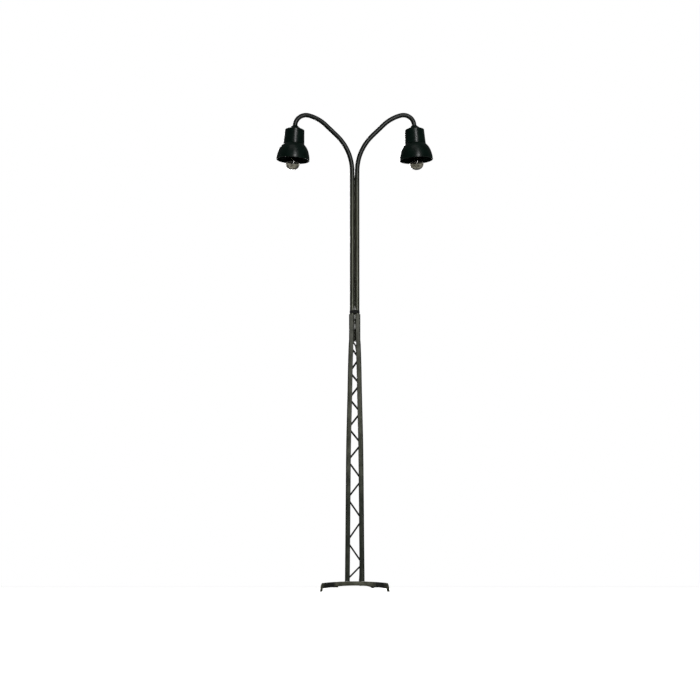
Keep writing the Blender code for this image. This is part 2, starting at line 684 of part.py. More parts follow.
def add_wire(name, path):
    add_piece(name, swept(path, WIRE_R, WIRE_STEPS), "wire", smooth=50)


def build_feed_wire(side, tag):
    """Wire from a head through its tube, down the right post to the sleeve."""
    wire = FEED_WIRES[tag]

    def in_post(heights):
        return [(mast_half(z) - wire["inset"], wire["y"], z) for z in heights]

    sleeve_start, end = sleeve_run(wire["in_sleeve"])
    path = [in_head(side, distance) for distance in WIRE_IN_HEAD]
    path += [(side * x, 0, z) for x, z in reversed(ARM[1:])]
    path += smooth_path([*wire["entry"], *in_post(POST_ENTRY_ZS)])
    path += in_post(POST_RUN_ZS)
    path += smooth_path([*wire["floor"], sleeve_start])
    path.append(end)
    add_wire("feed_wire_" + tag, path)


def build_return_wire():
    sleeve_start, end = sleeve_run(RETURN_IN_SLEEVE)
    add_wire("return_wire", smooth_path([*RETURN_WIRE, sleeve_start]) + [end])


def build_cable_sleeve():
    # the bore's flats, not its corners, lie at SLEEVE_BORE
    bore_corner = SLEEVE_BORE / math.cos(math.pi / SLEEVE_STEPS)
    outer, inner = (circle(SLEEVE_X, SLEEVE_Z, radius, SLEEVE_STEPS)
                    for radius in (SLEEVE_R, bore_corner))
    add_piece("cable_sleeve", ring_prism(outer, inner, SLEEVE_Y0, SLEEVE_Y1, 'Y'),
              "sleeve", smooth=40)


def main():
    clear_scene()
    build_base()
    build_lacing("lacing_front", -CH_INSIDE)
    build_lacing("lacing_rear", CH_INSIDE - LACE_T)
    build_band()
    build_solders()
    for side, tag in SIDES:
        build_channel(side, "mast_channel_" + tag)
        build_arm(side, "arm_tube_" + tag)
        build_head(side, tag)
        build_feed_wire(side, tag)
    build_return_wire()
    build_cable_sleeve()


main()
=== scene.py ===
"""Twin-arm lattice-mast lamp: fine meshes and procedural materials round the CAD model.

The lamp stands on z = 0 with +Z up.  Its front faces -Y, and its arched base plate
runs along X.  Two channel posts joined by zigzag lacing make the mast.  Two tubes rise
from its head and curve over to a head on the left (-X) and one on the right (+X).
Lengths are millimetres unless said otherwise; meshes are scaled to metres last.
"""
import math

import bmesh
import bpy
from mathutils import Matrix, Vector


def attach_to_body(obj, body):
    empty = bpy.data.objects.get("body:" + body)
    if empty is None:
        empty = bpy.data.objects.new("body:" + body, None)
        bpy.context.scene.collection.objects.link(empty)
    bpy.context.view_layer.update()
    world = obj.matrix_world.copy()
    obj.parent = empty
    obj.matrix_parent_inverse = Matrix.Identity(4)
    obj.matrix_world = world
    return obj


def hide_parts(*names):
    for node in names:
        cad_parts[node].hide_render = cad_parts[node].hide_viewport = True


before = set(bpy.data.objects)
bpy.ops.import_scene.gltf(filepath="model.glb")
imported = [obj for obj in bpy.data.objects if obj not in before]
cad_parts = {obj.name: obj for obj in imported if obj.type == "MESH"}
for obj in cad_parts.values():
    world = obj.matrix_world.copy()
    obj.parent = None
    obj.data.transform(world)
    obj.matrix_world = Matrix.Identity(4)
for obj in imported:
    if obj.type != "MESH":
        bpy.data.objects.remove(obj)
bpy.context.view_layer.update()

MM = 0.001
TAU = math.tau
SIDES = ((-1, "left"), (1, "right"))

# ============================================================= main dimensions
# base plate: top and edge depth at mid-length, and at PLATE_HALF_X
PLATE_HALF_X, PLATE_HALF_Y, SHEET = 8.10, 5.50, 0.45
TOP_MID, TOP_END = 2.52, 2.10
EDGE_MID, EDGE_END = 1.04, 1.40

# mast: height and half width over the posts, from head to foot
MAST = ((68.54, 1.410), (62.20, 1.410), (60.30, 1.530), (55.10, 1.690),
        (49.20, 1.800), (43.20, 1.945), (37.20, 2.085), (31.30, 2.165),
        (25.40, 2.215), (19.50, 2.265), (13.50, 2.310), (7.60, 2.365),
        (2.53, 2.410))
FOOT_HALF = MAST[-1][1]
CHANNEL_DEPTH, CHANNEL_SHEET = 1.90, 0.17
FLANGE_HEAD, FLANGE_FOOT = 1.10, 1.20       # flange widths above and below the knee
KNEE_Z0, KNEE_Z1 = 60.30, 62.20
TAB_HALF_Y = 0.60
GAP = 0.02

# arm tubes
TUBE_R, BORE_R, TUBE_X = 0.59, 0.38, 0.60
SEAT_R = TUBE_R + 0.012                     # where solder and thread sit on a tube
TUBE_Z0, TUBE_Z1 = 61.75, 104.96
PARTING_Z0, PARTING_Z1, PARTING_SHIFT = 103.30, 104.30, 0.03
# bends from the straight upwards: radius, degrees, straight length after it
BENDS = ((12.88, 45.686, 3.90), (9.775, 29.401, 0.0), (2.712, 101.513, 0.0))
BEND_STEP = 2.5                             # degrees
LEAN = math.radians(3.40)                   # of a head's axis, outwards going down
NECK_Z = 116.77

# sleeve where the three wires leave through the rear edge of the plate
SLEEVE_X, SLEEVE_Z, SLEEVE_Y = 4.47, 1.37, 3.00


def plate_top(x):
    return TOP_MID - (TOP_MID - TOP_END) * (x / PLATE_HALF_X) ** 2


def edge_depth(x):
    return EDGE_MID + (EDGE_END - EDGE_MID) * (x / PLATE_HALF_X) ** 2


def mast_half(z):
    for (z1, half1), (z0, half0) in zip(MAST, MAST[1:]):
        if z >= z0:
            return half0 + (half1 - half0) * min((z - z0) / (z1 - z0), 1.0)
    return FOOT_HALF


def arm_path():
    """(x, z) points along the right-hand tube, from its foot to the neck of the head."""
    x, z, turned = TUBE_X + PARTING_SHIFT, TUBE_Z1, 0.0
    points = [(TUBE_X, TUBE_Z0), (TUBE_X, TUBE_Z0 + 1.0), (TUBE_X, 80.0),
              (TUBE_X, PARTING_Z0), (TUBE_X + 0.2 * PARTING_SHIFT, PARTING_Z0 + 0.30),
              (x - 0.2 * PARTING_SHIFT, PARTING_Z1 - 0.30), (x, PARTING_Z1), (x, z)]
    for radius, angle, straight in BENDS:
        total = math.radians(angle)
        steps = round(angle / BEND_STEP)
        for k in range(1, steps + 1):
            a = total * k / steps
            points.append((x + radius * (math.cos(turned) - math.cos(turned + a)),
                           z + radius * (math.sin(turned + a) - math.sin(turned))))
        x, z = points[-1]
        turned += total
        if straight:
            x += straight * math.sin(turned)
            z += straight * math.cos(turned)
            points.append((x, z))
    drop = (z - NECK_Z) / math.cos(LEAN)
    points.append((x + drop * math.sin(LEAN), NECK_Z))
    return points


ARM = arm_path()
NECK_X = ARM[-1][0]


def head_axis(down):
    """(x, z) on the right-hand head's axis, at a distance down from the neck."""
    return NECK_X + down * math.sin(LEAN), NECK_Z - down * math.cos(LEAN)


def head_matrix(side):
    return (Matrix.Translation((side * NECK_X, 0, NECK_Z))
            @ Matrix.Rotation(-side * LEAN, 4, 'Y'))


# =============================================================== geometry kit
def catmull(points, per):
    """Open smooth curve through 2-D or 3-D points, with per steps to a span."""
    pts = [Vector(p) for p in points]
    ext = [pts[0] * 2 - pts[1]] + pts + [pts[-1] * 2 - pts[-2]]
    out = [pts[0]]
    for i in range(1, len(ext) - 2):
        p0, p1, p2, p3 = ext[i - 1:i + 3]
        for k in range(1, per + 1):
            t = k / per
            out.append(0.5 * ((2 * p1) + (p2 - p0) * t
                              + (2 * p0 - 5 * p1 + 4 * p2 - p3) * t * t
                              + (3 * p1 - p0 - 3 * p2 + p3) * t ** 3))
    return out


def fillet(points, radii, steps, closed=True):
    """Polygon with its corners rounded; radii is one radius, or one per corner."""
    pts = [Vector(p) for p in points]
    count = len(pts)
    out = []
    for i, corner in enumerate(pts):
        radius = radii[i] if isinstance(radii, (list, tuple)) else radii
        if radius <= 0 or (not closed and i in (0, count - 1)):
            out.append(corner.copy())
            continue
        back = pts[i - 1] - corner
        ahead = pts[(i + 1) % count] - corner
        back_len, ahead_len = back.length, ahead.length
        back, ahead = back / back_len, ahead / ahead_len
        half = math.acos(max(-0.9999, min(0.9999, back.dot(ahead)))) / 2
        if half > math.pi / 2 - 0.01:       # all but straight
            out.append(corner.copy())
            continue
        cut = min(radius / math.tan(half), back_len * 0.48, ahead_len * 0.48)
        fitted = cut * math.tan(half)
        centre = corner + (back + ahead).normalized() * (fitted / math.sin(half))
        start, end = corner + back * cut - centre, corner + ahead * cut - centre
        angle = start.angle(end)
        for k in range(steps + 1):
            t = k / steps
            out.append(centre + (start * math.sin((1 - t) * angle)
                                 + end * math.sin(t * angle)) / math.sin(angle))
    return out


def bridge(shape, low, high):
    """Quads between two rings of equal length."""
    for k in range(len(low)):
        j = (k + 1) % len(low)
        shape.faces.new((low[k], low[j], high[j], high[k]))


def lathe(outline, seg):
    """Closed (radius, down) outline spun about Z.  Points on the axis become poles."""
    shape = bmesh.new()
    rows = []
    for p in map(Vector, outline):
        if p.x <= 1e-9:
            rows.append([shape.verts.new((0, 0, -p.y))])
        else:
            rows.append([shape.verts.new((p.x * math.cos(TAU * k / seg),
                                          p.x * math.sin(TAU * k / seg), -p.y))
                         for k in range(seg)])
    for low, high in zip(rows, rows[1:] + rows[:1]):
        if len(low) == len(high) == 1:
            continue
        if len(low) == len(high):
            bridge(shape, low, high)
            continue
        for k in range(seg):
            j = (k + 1) % seg
            if len(low) == 1:
                shape.faces.new((low[0], high[j], high[k]))
            else:
                shape.faces.new((low[k], low[j], high[0]))
    return shape


def path_frames(path):
    """Tangents along a path, and normals carried along without twist."""
    tangents = []
    for i in range(len(path)):
        before, after = path[max(i - 1, 0)], path[min(i + 1, len(path) - 1)]
        tangents.append((after - before).normalized())
    first = tangents[0]
    normal = Vector((0, 1, 0)) - first * first.y
    if normal.length < 0.1:
        normal = Vector((1, 0, 0)) - first * first.x
    normals = [normal.normalized()]
    for tangent in tangents[1:]:
        normal = normals[-1] - tangent * normals[-1].dot(tangent)
        normals.append(normal.normalized())
    return tangents, normals


def sweep(path, radii, seg, bore=None):
    """Round bar, or tube if bore is given, along a path with one radius per point."""
    path = [Vector(p) for p in path]
    tangents, normals = path_frames(path)
    shape = bmesh.new()

    def skin_of(ring_radii):
        rings = []
        for p, tangent, normal, radius in zip(path, tangents, normals, ring_radii):
            across = tangent.cross(normal)
            rings.append([shape.verts.new(p + (normal * math.cos(TAU * k / seg)
                                               + across * math.sin(TAU * k / seg)) * radius)
                          for k in range(seg)])
        for low, high in zip(rings, rings[1:]):
            bridge(shape, low, high)
        return rings

    skin = skin_of(radii)
    if bore is None:
        shape.faces.new(skin[0])
        shape.faces.new(skin[-1])
    else:
        core = skin_of([bore] * len(path))
        bridge(shape, skin[0], core[0])
        bridge(shape, skin[-1], core[-1])
    return shape


def loft(rows):
    """Skin over rings of equal length; the end rings are capped."""
    shape = bmesh.new()
    rings = [[shape.verts.new(p) for p in row] for row in rows]
    for low, high in zip(rings, rings[1:]):
        bridge(shape, low, high)
    shape.faces.new(rings[0])
    shape.faces.new(list(reversed(rings[-1])))
    return shape


def ring_skin(loops):
    """Closed ring through loops listed round its section."""
    shape = bmesh.new()
    rings = [[shape.verts.new(p) for p in loop] for loop in loops]
    for low, high in zip(rings, rings[1:] + rings[:1]):
        bridge(shape, low, high)
    return shape


def prism_y(outline, y0, y1):
    """(x, z) outline drawn out along Y."""
    return loft([[(p[0], y, p[1]) for p in outline] for y in (y0, y1)])


def prism_z(outline, z0, z1):
    """(x, y) outline drawn out along Z."""
    return loft([[(p[0], p[1], z) for p in outline] for z in (z0, z1)])


def smooth(mesh, sharp):
    """Smooth shading, with edges beyond sharp degrees kept crisp."""
    mesh.shade_smooth()
    if sharp is not None:
        mesh.set_sharp_from_angle(angle=math.radians(sharp))


def make_object(name, shape, material=None, matrix=None, sharp=None, unit=MM):
    bmesh.ops.recalc_face_normals(shape, faces=shape.faces[:])
    if matrix is not None:
        bmesh.ops.transform(shape, matrix=matrix, verts=shape.verts[:])
    bmesh.ops.scale(shape, vec=(unit, unit, unit), verts=shape.verts[:])
    mesh = bpy.data.meshes.new(name)
    shape.to_mesh(mesh)
    shape.free()
    smooth(mesh, sharp)
    part = bpy.data.objects.new(name, mesh)
    bpy.context.scene.collection.objects.link(part)
    if material is not None:
        mesh.materials.append(material)
    return part


def attach(part, node, body="lamp"):
    """Put a part on its body in place of a CAD node, if it stands for one."""
    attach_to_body(part, body)
    if node:
        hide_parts(node)


def add_part(name, shape, node, slot, body="lamp", matrix=None, sharp=None):
    attach(make_object(name, shape, LOOKS[slot], matrix, sharp), node, body)


def apply_modifiers(part):
    depsgraph = bpy.context.evaluated_depsgraph_get()
    mesh = bpy.data.meshes.new_from_object(part.evaluated_get(depsgraph),
                                           preserve_all_data_layers=True,
                                           depsgraph=depsgraph)
    old = part.data
    part.modifiers.clear()
    part.data = mesh
    bpy.data.meshes.remove(old)


def bevel(part, width, angle):
    """Round edges sharper than angle degrees; width is in the mesh's own unit."""
    mod = part.modifiers.new("edge", 'BEVEL')
    mod.width = width
    mod.segments = 2
    mod.limit_method = 'ANGLE'
    mod.angle_limit = math.radians(angle)
    apply_modifiers(part)


def combine(part, shape, operation):
    """Boolean a solid into part; both are in millimetres."""
    other = make_object("cutter", shape, unit=1.0)
    mod = part.modifiers.new(operation, 'BOOLEAN')
    mod.operation = operation
    mod.solver = 'EXACT'
    mod.object = other
    apply_modifiers(part)
    mesh = other.data
    bpy.data.objects.remove(other, do_unlink=True)
    bpy.data.meshes.remove(mesh)
    clean = bmesh.new()
    clean.from_mesh(part.data)
    bmesh.ops.remove_doubles(clean, verts=clean.verts[:], dist=2e-4)
    bmesh.ops.dissolve_degenerate(clean, edges=clean.edges[:], dist=2e-4)
    clean.to_mesh(part.data)
    clean.free()


# ============================================================ node-based looks
def as_rgba(colour):
    """Grey level or RGB as RGBA; sockets pass through."""
    if isinstance(colour, bpy.types.NodeSocket):
        return colour
    if isinstance(colour, (int, float)):
        return (colour, colour, colour, 1.0)
    return (*colour, 1.0)


class Graph:
    """Small helper for writing a node tree."""

    def __init__(self, tree, output):
        self.tree = tree
        tree.nodes.clear()
        self.out = self.new(output)

    def new(self, kind, **props):
        node = self.tree.nodes.new(kind)
        for key, value in props.items():
            setattr(node, key, value)
        return node

    def feed(self, socket, value):
        """Link a socket into an input, or set its plain value."""
        if isinstance(value, bpy.types.NodeSocket):
            self.tree.links.new(value, socket)
        else:
            socket.default_value = value

    def span(self, value, over, to=(0.0, 1.0), smooth=False):
        """Map one range of a value onto another, clamped."""
        node = self.new("ShaderNodeMapRange")
        node.interpolation_type = 'SMOOTHSTEP' if smooth else 'LINEAR'
        self.feed(node.inputs["Value"], value)
        for key, number in zip(("From Min", "From Max", "To Min", "To Max"), (*over, *to)):
            node.inputs[key].default_value = number
        return node.outputs[0]

    def math(self, operation, a, b=0.0):
        node = self.new("ShaderNodeMath", operation=operation)
        self.feed(node.inputs[0], a)
        self.feed(node.inputs[1], b)
        return node.outputs[0]

    def times(self, a, b):
        return self.math('MULTIPLY', a, b)

    def axis(self, which, vector):
        node = self.new("ShaderNodeSeparateXYZ")
        self.feed(node.inputs[0], vector)
        return node.outputs["XYZ".index(which)]

    def mix_shaders(self, factor, a, b):
        node = self.new("ShaderNodeMixShader")
        for socket, value in zip(node.inputs, (factor, a, b)):
            self.feed(socket, value)
        return node.outputs[0]


class Look(Graph):
    """Material on a Principled shader, with textures measured in millimetres."""

    INPUTS = {"color": "Base Color", "metal": "Metallic", "rough": "Roughness",
              "normal": "Normal", "coat": "Coat Weight", "coat_rough": "Coat Roughness",
              "ior": "IOR", "spec": "Specular IOR Level",
              "trans": "Transmission Weight", "sheen": "Sheen Weight"}

    def __init__(self, name):
        self.material = bpy.data.materials.new(name)
        self.material.use_nodes = True
        super().__init__(self.material.node_tree, "ShaderNodeOutputMaterial")
        self.bsdf = self.new("ShaderNodeBsdfPrincipled")
        self.feed(self.out.inputs[0], self.bsdf.outputs[0])
        coord = self.new("ShaderNodeTexCoord")
        scale = self.new("ShaderNodeVectorMath", operation='SCALE')
        scale.inputs["Scale"].default_value = 1000.0
        self.feed(scale.inputs[0], coord.outputs["Object"])
        self.place = scale.outputs[0]

    def noise(self, scale, detail=4, rough=0.6, stretch=None, distortion=0.0):
        """Noise value; stretch scales the place along X, Y and Z first."""
        vector = self.place
        if stretch:
            node = self.new("ShaderNodeVectorMath", operation='MULTIPLY')
            self.feed(node.inputs[0], vector)
            node.inputs[1].default_value = stretch
            vector = node.outputs[0]
        node = self.new("ShaderNodeTexNoise")
        self.feed(node.inputs["Vector"], vector)
        node.inputs["Scale"].default_value = scale
        node.inputs["Detail"].default_value = detail
        node.inputs["Roughness"].default_value = rough
        node.inputs["Distortion"].default_value = distortion
        return node.outputs["Fac"]

    def ramp(self, factor, *stops):
        """Colour ramp through (position, colour) stops."""
        node = self.new("ShaderNodeValToRGB")
        self.feed(node.inputs[0], factor)
        elements = node.color_ramp.elements
        for element, (position, colour) in zip(elements, (stops[0], stops[-1])):
            element.position = position
            element.color = as_rgba(colour)
        for position, colour in stops[1:-1]:
            elements.new(position).color = as_rgba(colour)
        return node.outputs[0]

    def mix(self, factor, a, b):
        node = self.new("ShaderNodeMix", data_type='RGBA', blend_type='MIX')
        self.feed(node.inputs["Factor"], factor)
        self.feed(node.inputs[6], as_rgba(a))
        self.feed(node.inputs[7], as_rgba(b))
        return node.outputs[2]

    def tint(self, under, colour, mask, amount):
        """Lay a colour over another where the mask is 1, at most by amount."""
        return self.mix(self.times(mask, amount), under, colour)

    def ragged(self, value, noise, amount):
        """Shift a value up and down with a noise, so that its limits wander."""
        return self.math('ADD', value, self.times(self.math('SUBTRACT', noise, 0.5), amount))

    def along(self, which):
        """Place along one axis."""
        return self.axis(which, self.place)

    def facing(self, which):
        """How far the surface faces along one axis."""
        return self.axis(which, self.new("ShaderNodeNewGeometry").outputs["Normal"])

    def bump(self, height, distance, strength, normal=None):
        node = self.new("ShaderNodeBump")
        self.feed(node.inputs["Height"], height)
        node.inputs["Distance"].default_value = distance * MM
        node.inputs["Strength"].default_value = strength
        if normal is not None:
            self.feed(node.inputs["Normal"], normal)
        return node.outputs[0]

    def edges(self, radius, over):
        """1 on convex and concave edges, from the bevelled normal."""
        rounded = self.new("ShaderNodeBevel", samples=6)
        rounded.inputs["Radius"].default_value = radius * MM
        geometry = self.new("ShaderNodeNewGeometry")
        dot = self.new("ShaderNodeVectorMath", operation='DOT_PRODUCT')
        self.feed(dot.inputs[0], rounded.outputs[0])
        self.feed(dot.inputs[1], geometry.outputs["Normal"])
        return self.span(self.math('SUBTRACT', 1.0, dot.outputs["Value"]), over)

    def set(self, **values):
        for key, value in values.items():
            value = as_rgba(value) if key == "color" else value
            self.feed(self.bsdf.inputs[self.INPUTS[key]], value)
        return self.material


def enamel_look():
    """Very dark green-black moulded shell, semi-gloss, faint orange peel."""
    look = Look("lamp_enamel")
    cloud = look.noise(scale=0.55, detail=3)
    fine = look.noise(scale=9.0)
    color = look.ramp(cloud, (0.30, (0.0008, 0.0052, 0.0034)),
                      (0.55, (0.0013, 0.0086, 0.0056)), (0.80, (0.0028, 0.0120, 0.0082)))
    specks = look.span(look.noise(scale=22.0, detail=2, rough=0.5), over=(0.66, 0.74))
    color = look.tint(color, (0.045, 0.052, 0.047), mask=specks, amount=0.35)
    worn = look.times(look.edges(radius=0.07, over=(0.03, 0.30)),
                      look.span(look.noise(scale=1.6), over=(0.42, 0.62)))
    color = look.tint(color, (0.050, 0.058, 0.052), mask=worn, amount=0.55)
    rough = look.math('ADD', look.span(cloud, over=(0.3, 0.7), to=(0.25, 0.34)),
                      look.span(fine, over=(0.35, 0.65), to=(-0.03, 0.04)))
    peel = look.bump(look.noise(scale=3.2, detail=2, rough=0.5), distance=0.010, strength=0.5)
    normal = look.bump(look.noise(scale=26.0, detail=3), distance=0.002, strength=0.5,
                       normal=peel)
    return look.set(color=color, rough=rough, normal=normal, spec=0.30, coat=0.10,
                    coat_rough=0.20)


def tube_look():
    """Olive-grey lacquer on drawn brass; darker paint towards the heads."""
    look = Look("arm_paint")
    drawn = look.noise(scale=1.0, stretch=(9.0, 9.0, 0.10))
    cloud = look.noise(scale=0.45, rough=0.65, stretch=(1.6, 1.6, 0.5))
    olive = look.ramp(cloud, (0.30, (0.046, 0.048, 0.031)), (0.52, (0.066, 0.069, 0.047)),
                      (0.75, (0.094, 0.097, 0.069)))
    dark = look.ramp(cloud, (0.30, (0.004, 0.007, 0.005)), (0.75, (0.010, 0.013, 0.010)))
    # the cloud moves the change of colour by up to 5 mm
    height = look.math('ADD', look.along('Z'), look.times(cloud, 5.0))
    upper = look.span(height, over=(99.0, 111.0), smooth=True)
    color = look.mix(upper, olive, dark)
    flakes = look.noise(scale=2.6, detail=5, rough=0.7, stretch=(1, 1, 0.6))
    patches = look.noise(scale=0.35, detail=2, rough=0.5)
    chips = look.times(look.span(flakes, over=(0.66, 0.70)),
                       look.span(patches, over=(0.45, 0.60)))
    color = look.tint(color, (0.20, 0.17, 0.10), mask=chips, amount=0.75)
    rough = look.span(drawn, over=(0.3, 0.7), to=(0.30, 0.44))
    normal = look.bump(drawn, distance=0.004, strength=0.5)
    normal = look.bump(look.noise(scale=14.0, detail=3), distance=0.0025, strength=0.6,
                       normal=normal)
    metal = look.math('MAXIMUM', look.span(upper, over=(0.0, 1.0), to=(0.45, 0.15)), chips)
    return look.set(color=color, rough=rough, metal=metal, normal=normal, spec=0.5)


def mast_look(name="mast_paint", darkening=0.0):
    """Thin dark olive paint on sheet steel, darker towards the foot and lighter towards the
    head.
    """
    look = Look(name)
    cloud = look.noise(scale=0.7, rough=0.65, stretch=(1.3, 1.3, 0.55))
    foot = look.ramp(cloud, (0.36, (0.012, 0.017, 0.010)), (0.64, (0.050, 0.058, 0.040)))
    middle = look.ramp(cloud, (0.34, (0.046, 0.050, 0.034)), (0.66, (0.135, 0.140, 0.104)))
    head = look.ramp(cloud, (0.34, (0.086, 0.089, 0.070)), (0.66, (0.165, 0.168, 0.138)))
    height = look.ragged(look.along('Z'), cloud, amount=9.0)
    color = look.mix(look.span(height, over=(16.0, 40.0), smooth=True), foot, middle)
    color = look.mix(look.span(height, over=(56.0, 64.0), smooth=True), color, head)
    worn = look.times(look.edges(radius=0.06, over=(0.04, 0.35)),
                      look.span(look.noise(scale=2.2, rough=0.65), over=(0.40, 0.62)))
    color = look.tint(color, (0.170, 0.170, 0.140), mask=worn, amount=0.35)
    grime = look.span(look.noise(scale=4.5, detail=5, rough=0.7), over=(0.52, 0.70))
    color = look.tint(color, (0.006, 0.007, 0.005), mask=grime, amount=0.45)
    # painted shade: the rounded bends of the sheet, which turn sideways, are darkened as if
    # in shade
    side = look.math('ABSOLUTE', look.facing('X'))
    painted_bend_shade = look.times(look.span(side, over=(0.08, 0.32)), look.span(side, over=(0.98, 0.93)))
    color = look.tint(color, (0.005, 0.007, 0.005), mask=painted_bend_shade, amount=0.92)
    if darkening:
        color = look.mix(darkening, color, (0.004, 0.005, 0.004))
    rough = look.span(look.noise(scale=3.0), over=(0.3, 0.7), to=(0.36, 0.56))
    normal = look.bump(look.noise(scale=8.0, rough=0.65), distance=0.006, strength=0.6)
    normal = look.bump(look.noise(scale=1.1, detail=2, rough=0.5), distance=0.020,
                       strength=0.5, normal=normal)
    return look.set(color=color, rough=rough, metal=0.05, normal=normal, spec=0.16)


def base_look():
    """Stamped plate: satin olive-grey paint, edges rubbed, painted shade in the dimples and
    across the screw cups.
    """
    look = Look("base_paint")
    cloud = look.noise(scale=0.42, detail=5, rough=0.65)
    color = look.ramp(cloud, (0.36, (0.026, 0.028, 0.017)), (0.50, (0.088, 0.090, 0.062)),
                      (0.64, (0.170, 0.172, 0.128)))
    worn = look.times(look.edges(radius=0.10, over=(0.03, 0.30)),
                      look.span(look.noise(scale=1.3, detail=5, rough=0.7),
                                over=(0.38, 0.58)))
    color = look.tint(color, (0.25, 0.245, 0.205), mask=worn, amount=0.75)
    # painted shade: occlusion darkens the dimples and recesses
    hollow_occlusion = look.new("ShaderNodeAmbientOcclusion", samples=4)
    hollow_occlusion.inputs["Distance"].default_value = 0.9 * MM
    painted_hollow_shade = look.span(hollow_occlusion.outputs["AO"], over=(0.35, 0.85), to=(1.0, 0.0))
    color = look.tint(color, (0.006, 0.006, 0.004), mask=painted_hollow_shade, amount=0.75)
    # painted shade: a dark band across each screw cup, where the front edge dips
    out = look.ragged(look.math('ABSOLUTE', look.along('X')),
                      look.noise(scale=1.1, detail=3), amount=1.4)
    painted_cup_shade = look.times(look.span(out, over=(4.6, 5.2)), look.span(out, over=(7.6, 7.1)))
    color = look.tint(color, (0.003, 0.004, 0.003), mask=painted_cup_shade, amount=0.94)
    streaks = look.noise(scale=1.0, detail=3, rough=0.5, stretch=(0.5, 7.0, 7.0),
                         distortion=1.2)
    patches = look.noise(scale=0.5, detail=2, rough=0.5)
    scratch = look.times(look.span(streaks, over=(0.63, 0.66)),
                         look.span(patches, over=(0.48, 0.6)))
    color = look.tint(color, (0.11, 0.11, 0.095), mask=scratch, amount=0.5)
    rough = look.span(look.noise(scale=2.2), over=(0.3, 0.7), to=(0.42, 0.64))
    normal = look.bump(look.noise(scale=7.0, rough=0.65), distance=0.008, strength=0.55)
    normal = look.bump(look.noise(scale=0.8, detail=2, rough=0.5), distance=0.03,
                       strength=0.5, normal=normal)
    return look.set(color=color, rough=rough, metal=0.05, normal=normal, spec=0.16)


def solder_look():
    """Dull grey solder with stains of flux."""
    look = Look("solder")
    color = look.ramp(look.noise(scale=1.8), (0.3, (0.15, 0.152, 0.140)),
                      (0.7, (0.25, 0.252, 0.238)))
    flux = look.span(look.noise(scale=3.6, rough=0.7), over=(0.58, 0.68))
    color = look.tint(color, (0.034, 0.030, 0.018), mask=flux, amount=0.6)
    rough = look.span(look.noise(scale=6.0, detail=3), over=(0.3, 0.7), to=(0.34, 0.58))
    normal = look.bump(look.noise(scale=4.0, detail=3), distance=0.016, strength=0.6)
    return look.set(color=color, rough=rough, metal=0.55, normal=normal)


def brass_look():
    """Stained brass with fine turning marks."""
    look = Look("contact_brass")
    turning = look.noise(scale=1.0, stretch=(0.4, 0.4, 26.0))
    color = look.ramp(look.noise(scale=0.9, rough=0.65), (0.3, (0.30, 0.20, 0.075)),
                      (0.7, (0.60, 0.43, 0.17)))
    rough = look.span(turning, over=(0.3, 0.7), to=(0.22, 0.38))
    normal = look.bump(turning, distance=0.004, strength=0.6)
    return look.set(color=color, rough=rough, metal=1.0, normal=normal)


def fibre_look():
    """Brown pressed fibre."""
    look = Look("fibre")
    lay = look.noise(scale=1.0, detail=5, rough=0.7, stretch=(2.0, 14.0, 2.0))
    color = look.ramp(lay, (0.3, (0.10, 0.055, 0.028)), (0.7, (0.20, 0.12, 0.065)))
    normal = look.bump(lay, distance=0.006, strength=0.6)
    return look.set(color=color, rough=0.72, normal=normal)


def thread_look():
    """Near-black thread."""
    look = Look("band")
    twist = look.noise(scale=1.0, stretch=(9.0, 9.0, 5.0))
    color = look.ramp(twist, (0.3, (0.0035, 0.0035, 0.003)), (0.7, (0.011, 0.011, 0.010)))
    normal = look.bump(twist, distance=0.015, strength=0.7)
    return look.set(color=color, rough=0.7, normal=normal, sheen=0.15)


def sleeve_look():
    """Black sleeving."""
    look = Look("cable_sleeve")
    grain = look.noise(scale=5.0)
    color = look.ramp(grain, (0.3, 0.004), (0.7, 0.010))
    normal = look.bump(grain, distance=0.008, strength=0.5)
    rough = look.span(grain, over=(0.3, 0.7), to=(0.45, 0.62))
    return look.set(color=color, rough=rough, normal=normal)


def wire_look():
    """Dark enamel on copper; bare copper where a lead is stripped or rubbed."""
    look = Look("enamelled_wire")
    grain = look.noise(scale=2.5)
    y, z = look.along('Y'), look.along('Z')
    color = look.ramp(grain, (0.3, (0.010, 0.009, 0.006)), (0.7, (0.024, 0.020, 0.013)))
    stripped = look.span(y, over=(5.145, 5.15))
    rubbed = look.times(look.span(z, over=(58.8, 59.1)), look.span(z, over=(59.9, 59.6)))
    rubbed = look.times(rubbed, look.span(look.noise(scale=3.0, detail=3),
                                          over=(0.45, 0.55), to=(0.15, 0.75)))
    bare = look.math('MAXIMUM', stripped, rubbed)
    color = look.mix(bare, color, (0.52, 0.30, 0.14))
    normal = look.bump(look.noise(scale=9.0, detail=3), distance=0.004, strength=0.5)
    rough = look.span(grain, over=(0.3, 0.7), to=(0.28, 0.42))
    return look.set(color=color, rough=rough, metal=bare, normal=normal, coat=0.3,
                    coat_rough=0.15)


def glass_look():
    """Clear blown glass, tinted a warm grey as painted shade for the dark inside of the lamp
    shade seen through it; faintly uneven.
    """
    look = Look("bulb_glass")
    normal = look.bump(look.noise(scale=0.8, detail=2, rough=0.5), distance=0.02,
                       strength=0.4)
    # painted shade: a warm grey tint darkens the clear glass
    color = look.ramp(look.noise(scale=1.0, detail=3), (0.36, (0.205, 0.198, 0.165)),
                      (0.50, (0.405, 0.395, 0.345)), (0.66, (0.640, 0.628, 0.570)))
    return look.set(color=color, rough=0.02, trans=1.0, ior=1.50, normal=normal)


def bead_look():
    """Pale green glass, half clear."""
    look = Look("bead_glass")
    color = look.ramp(look.noise(scale=2.0, detail=2, rough=0.5),
                      (0.3, (0.30, 0.38, 0.32)), (0.7, (0.45, 0.52, 0.46)))
    return look.set(color=color, rough=0.12, trans=0.45, ior=1.5)


def filament_look():
    """Grey metal wire."""
    look = Look("filament")
    grain = look.noise(scale=7.0, detail=3)
    color = look.ramp(grain, (0.3, (0.20, 0.20, 0.20)), (0.7, (0.42, 0.41, 0.39)))
    rough = look.span(grain, over=(0.3, 0.7), to=(0.25, 0.4))
    return look.set(color=color, rough=rough, metal=1.0)


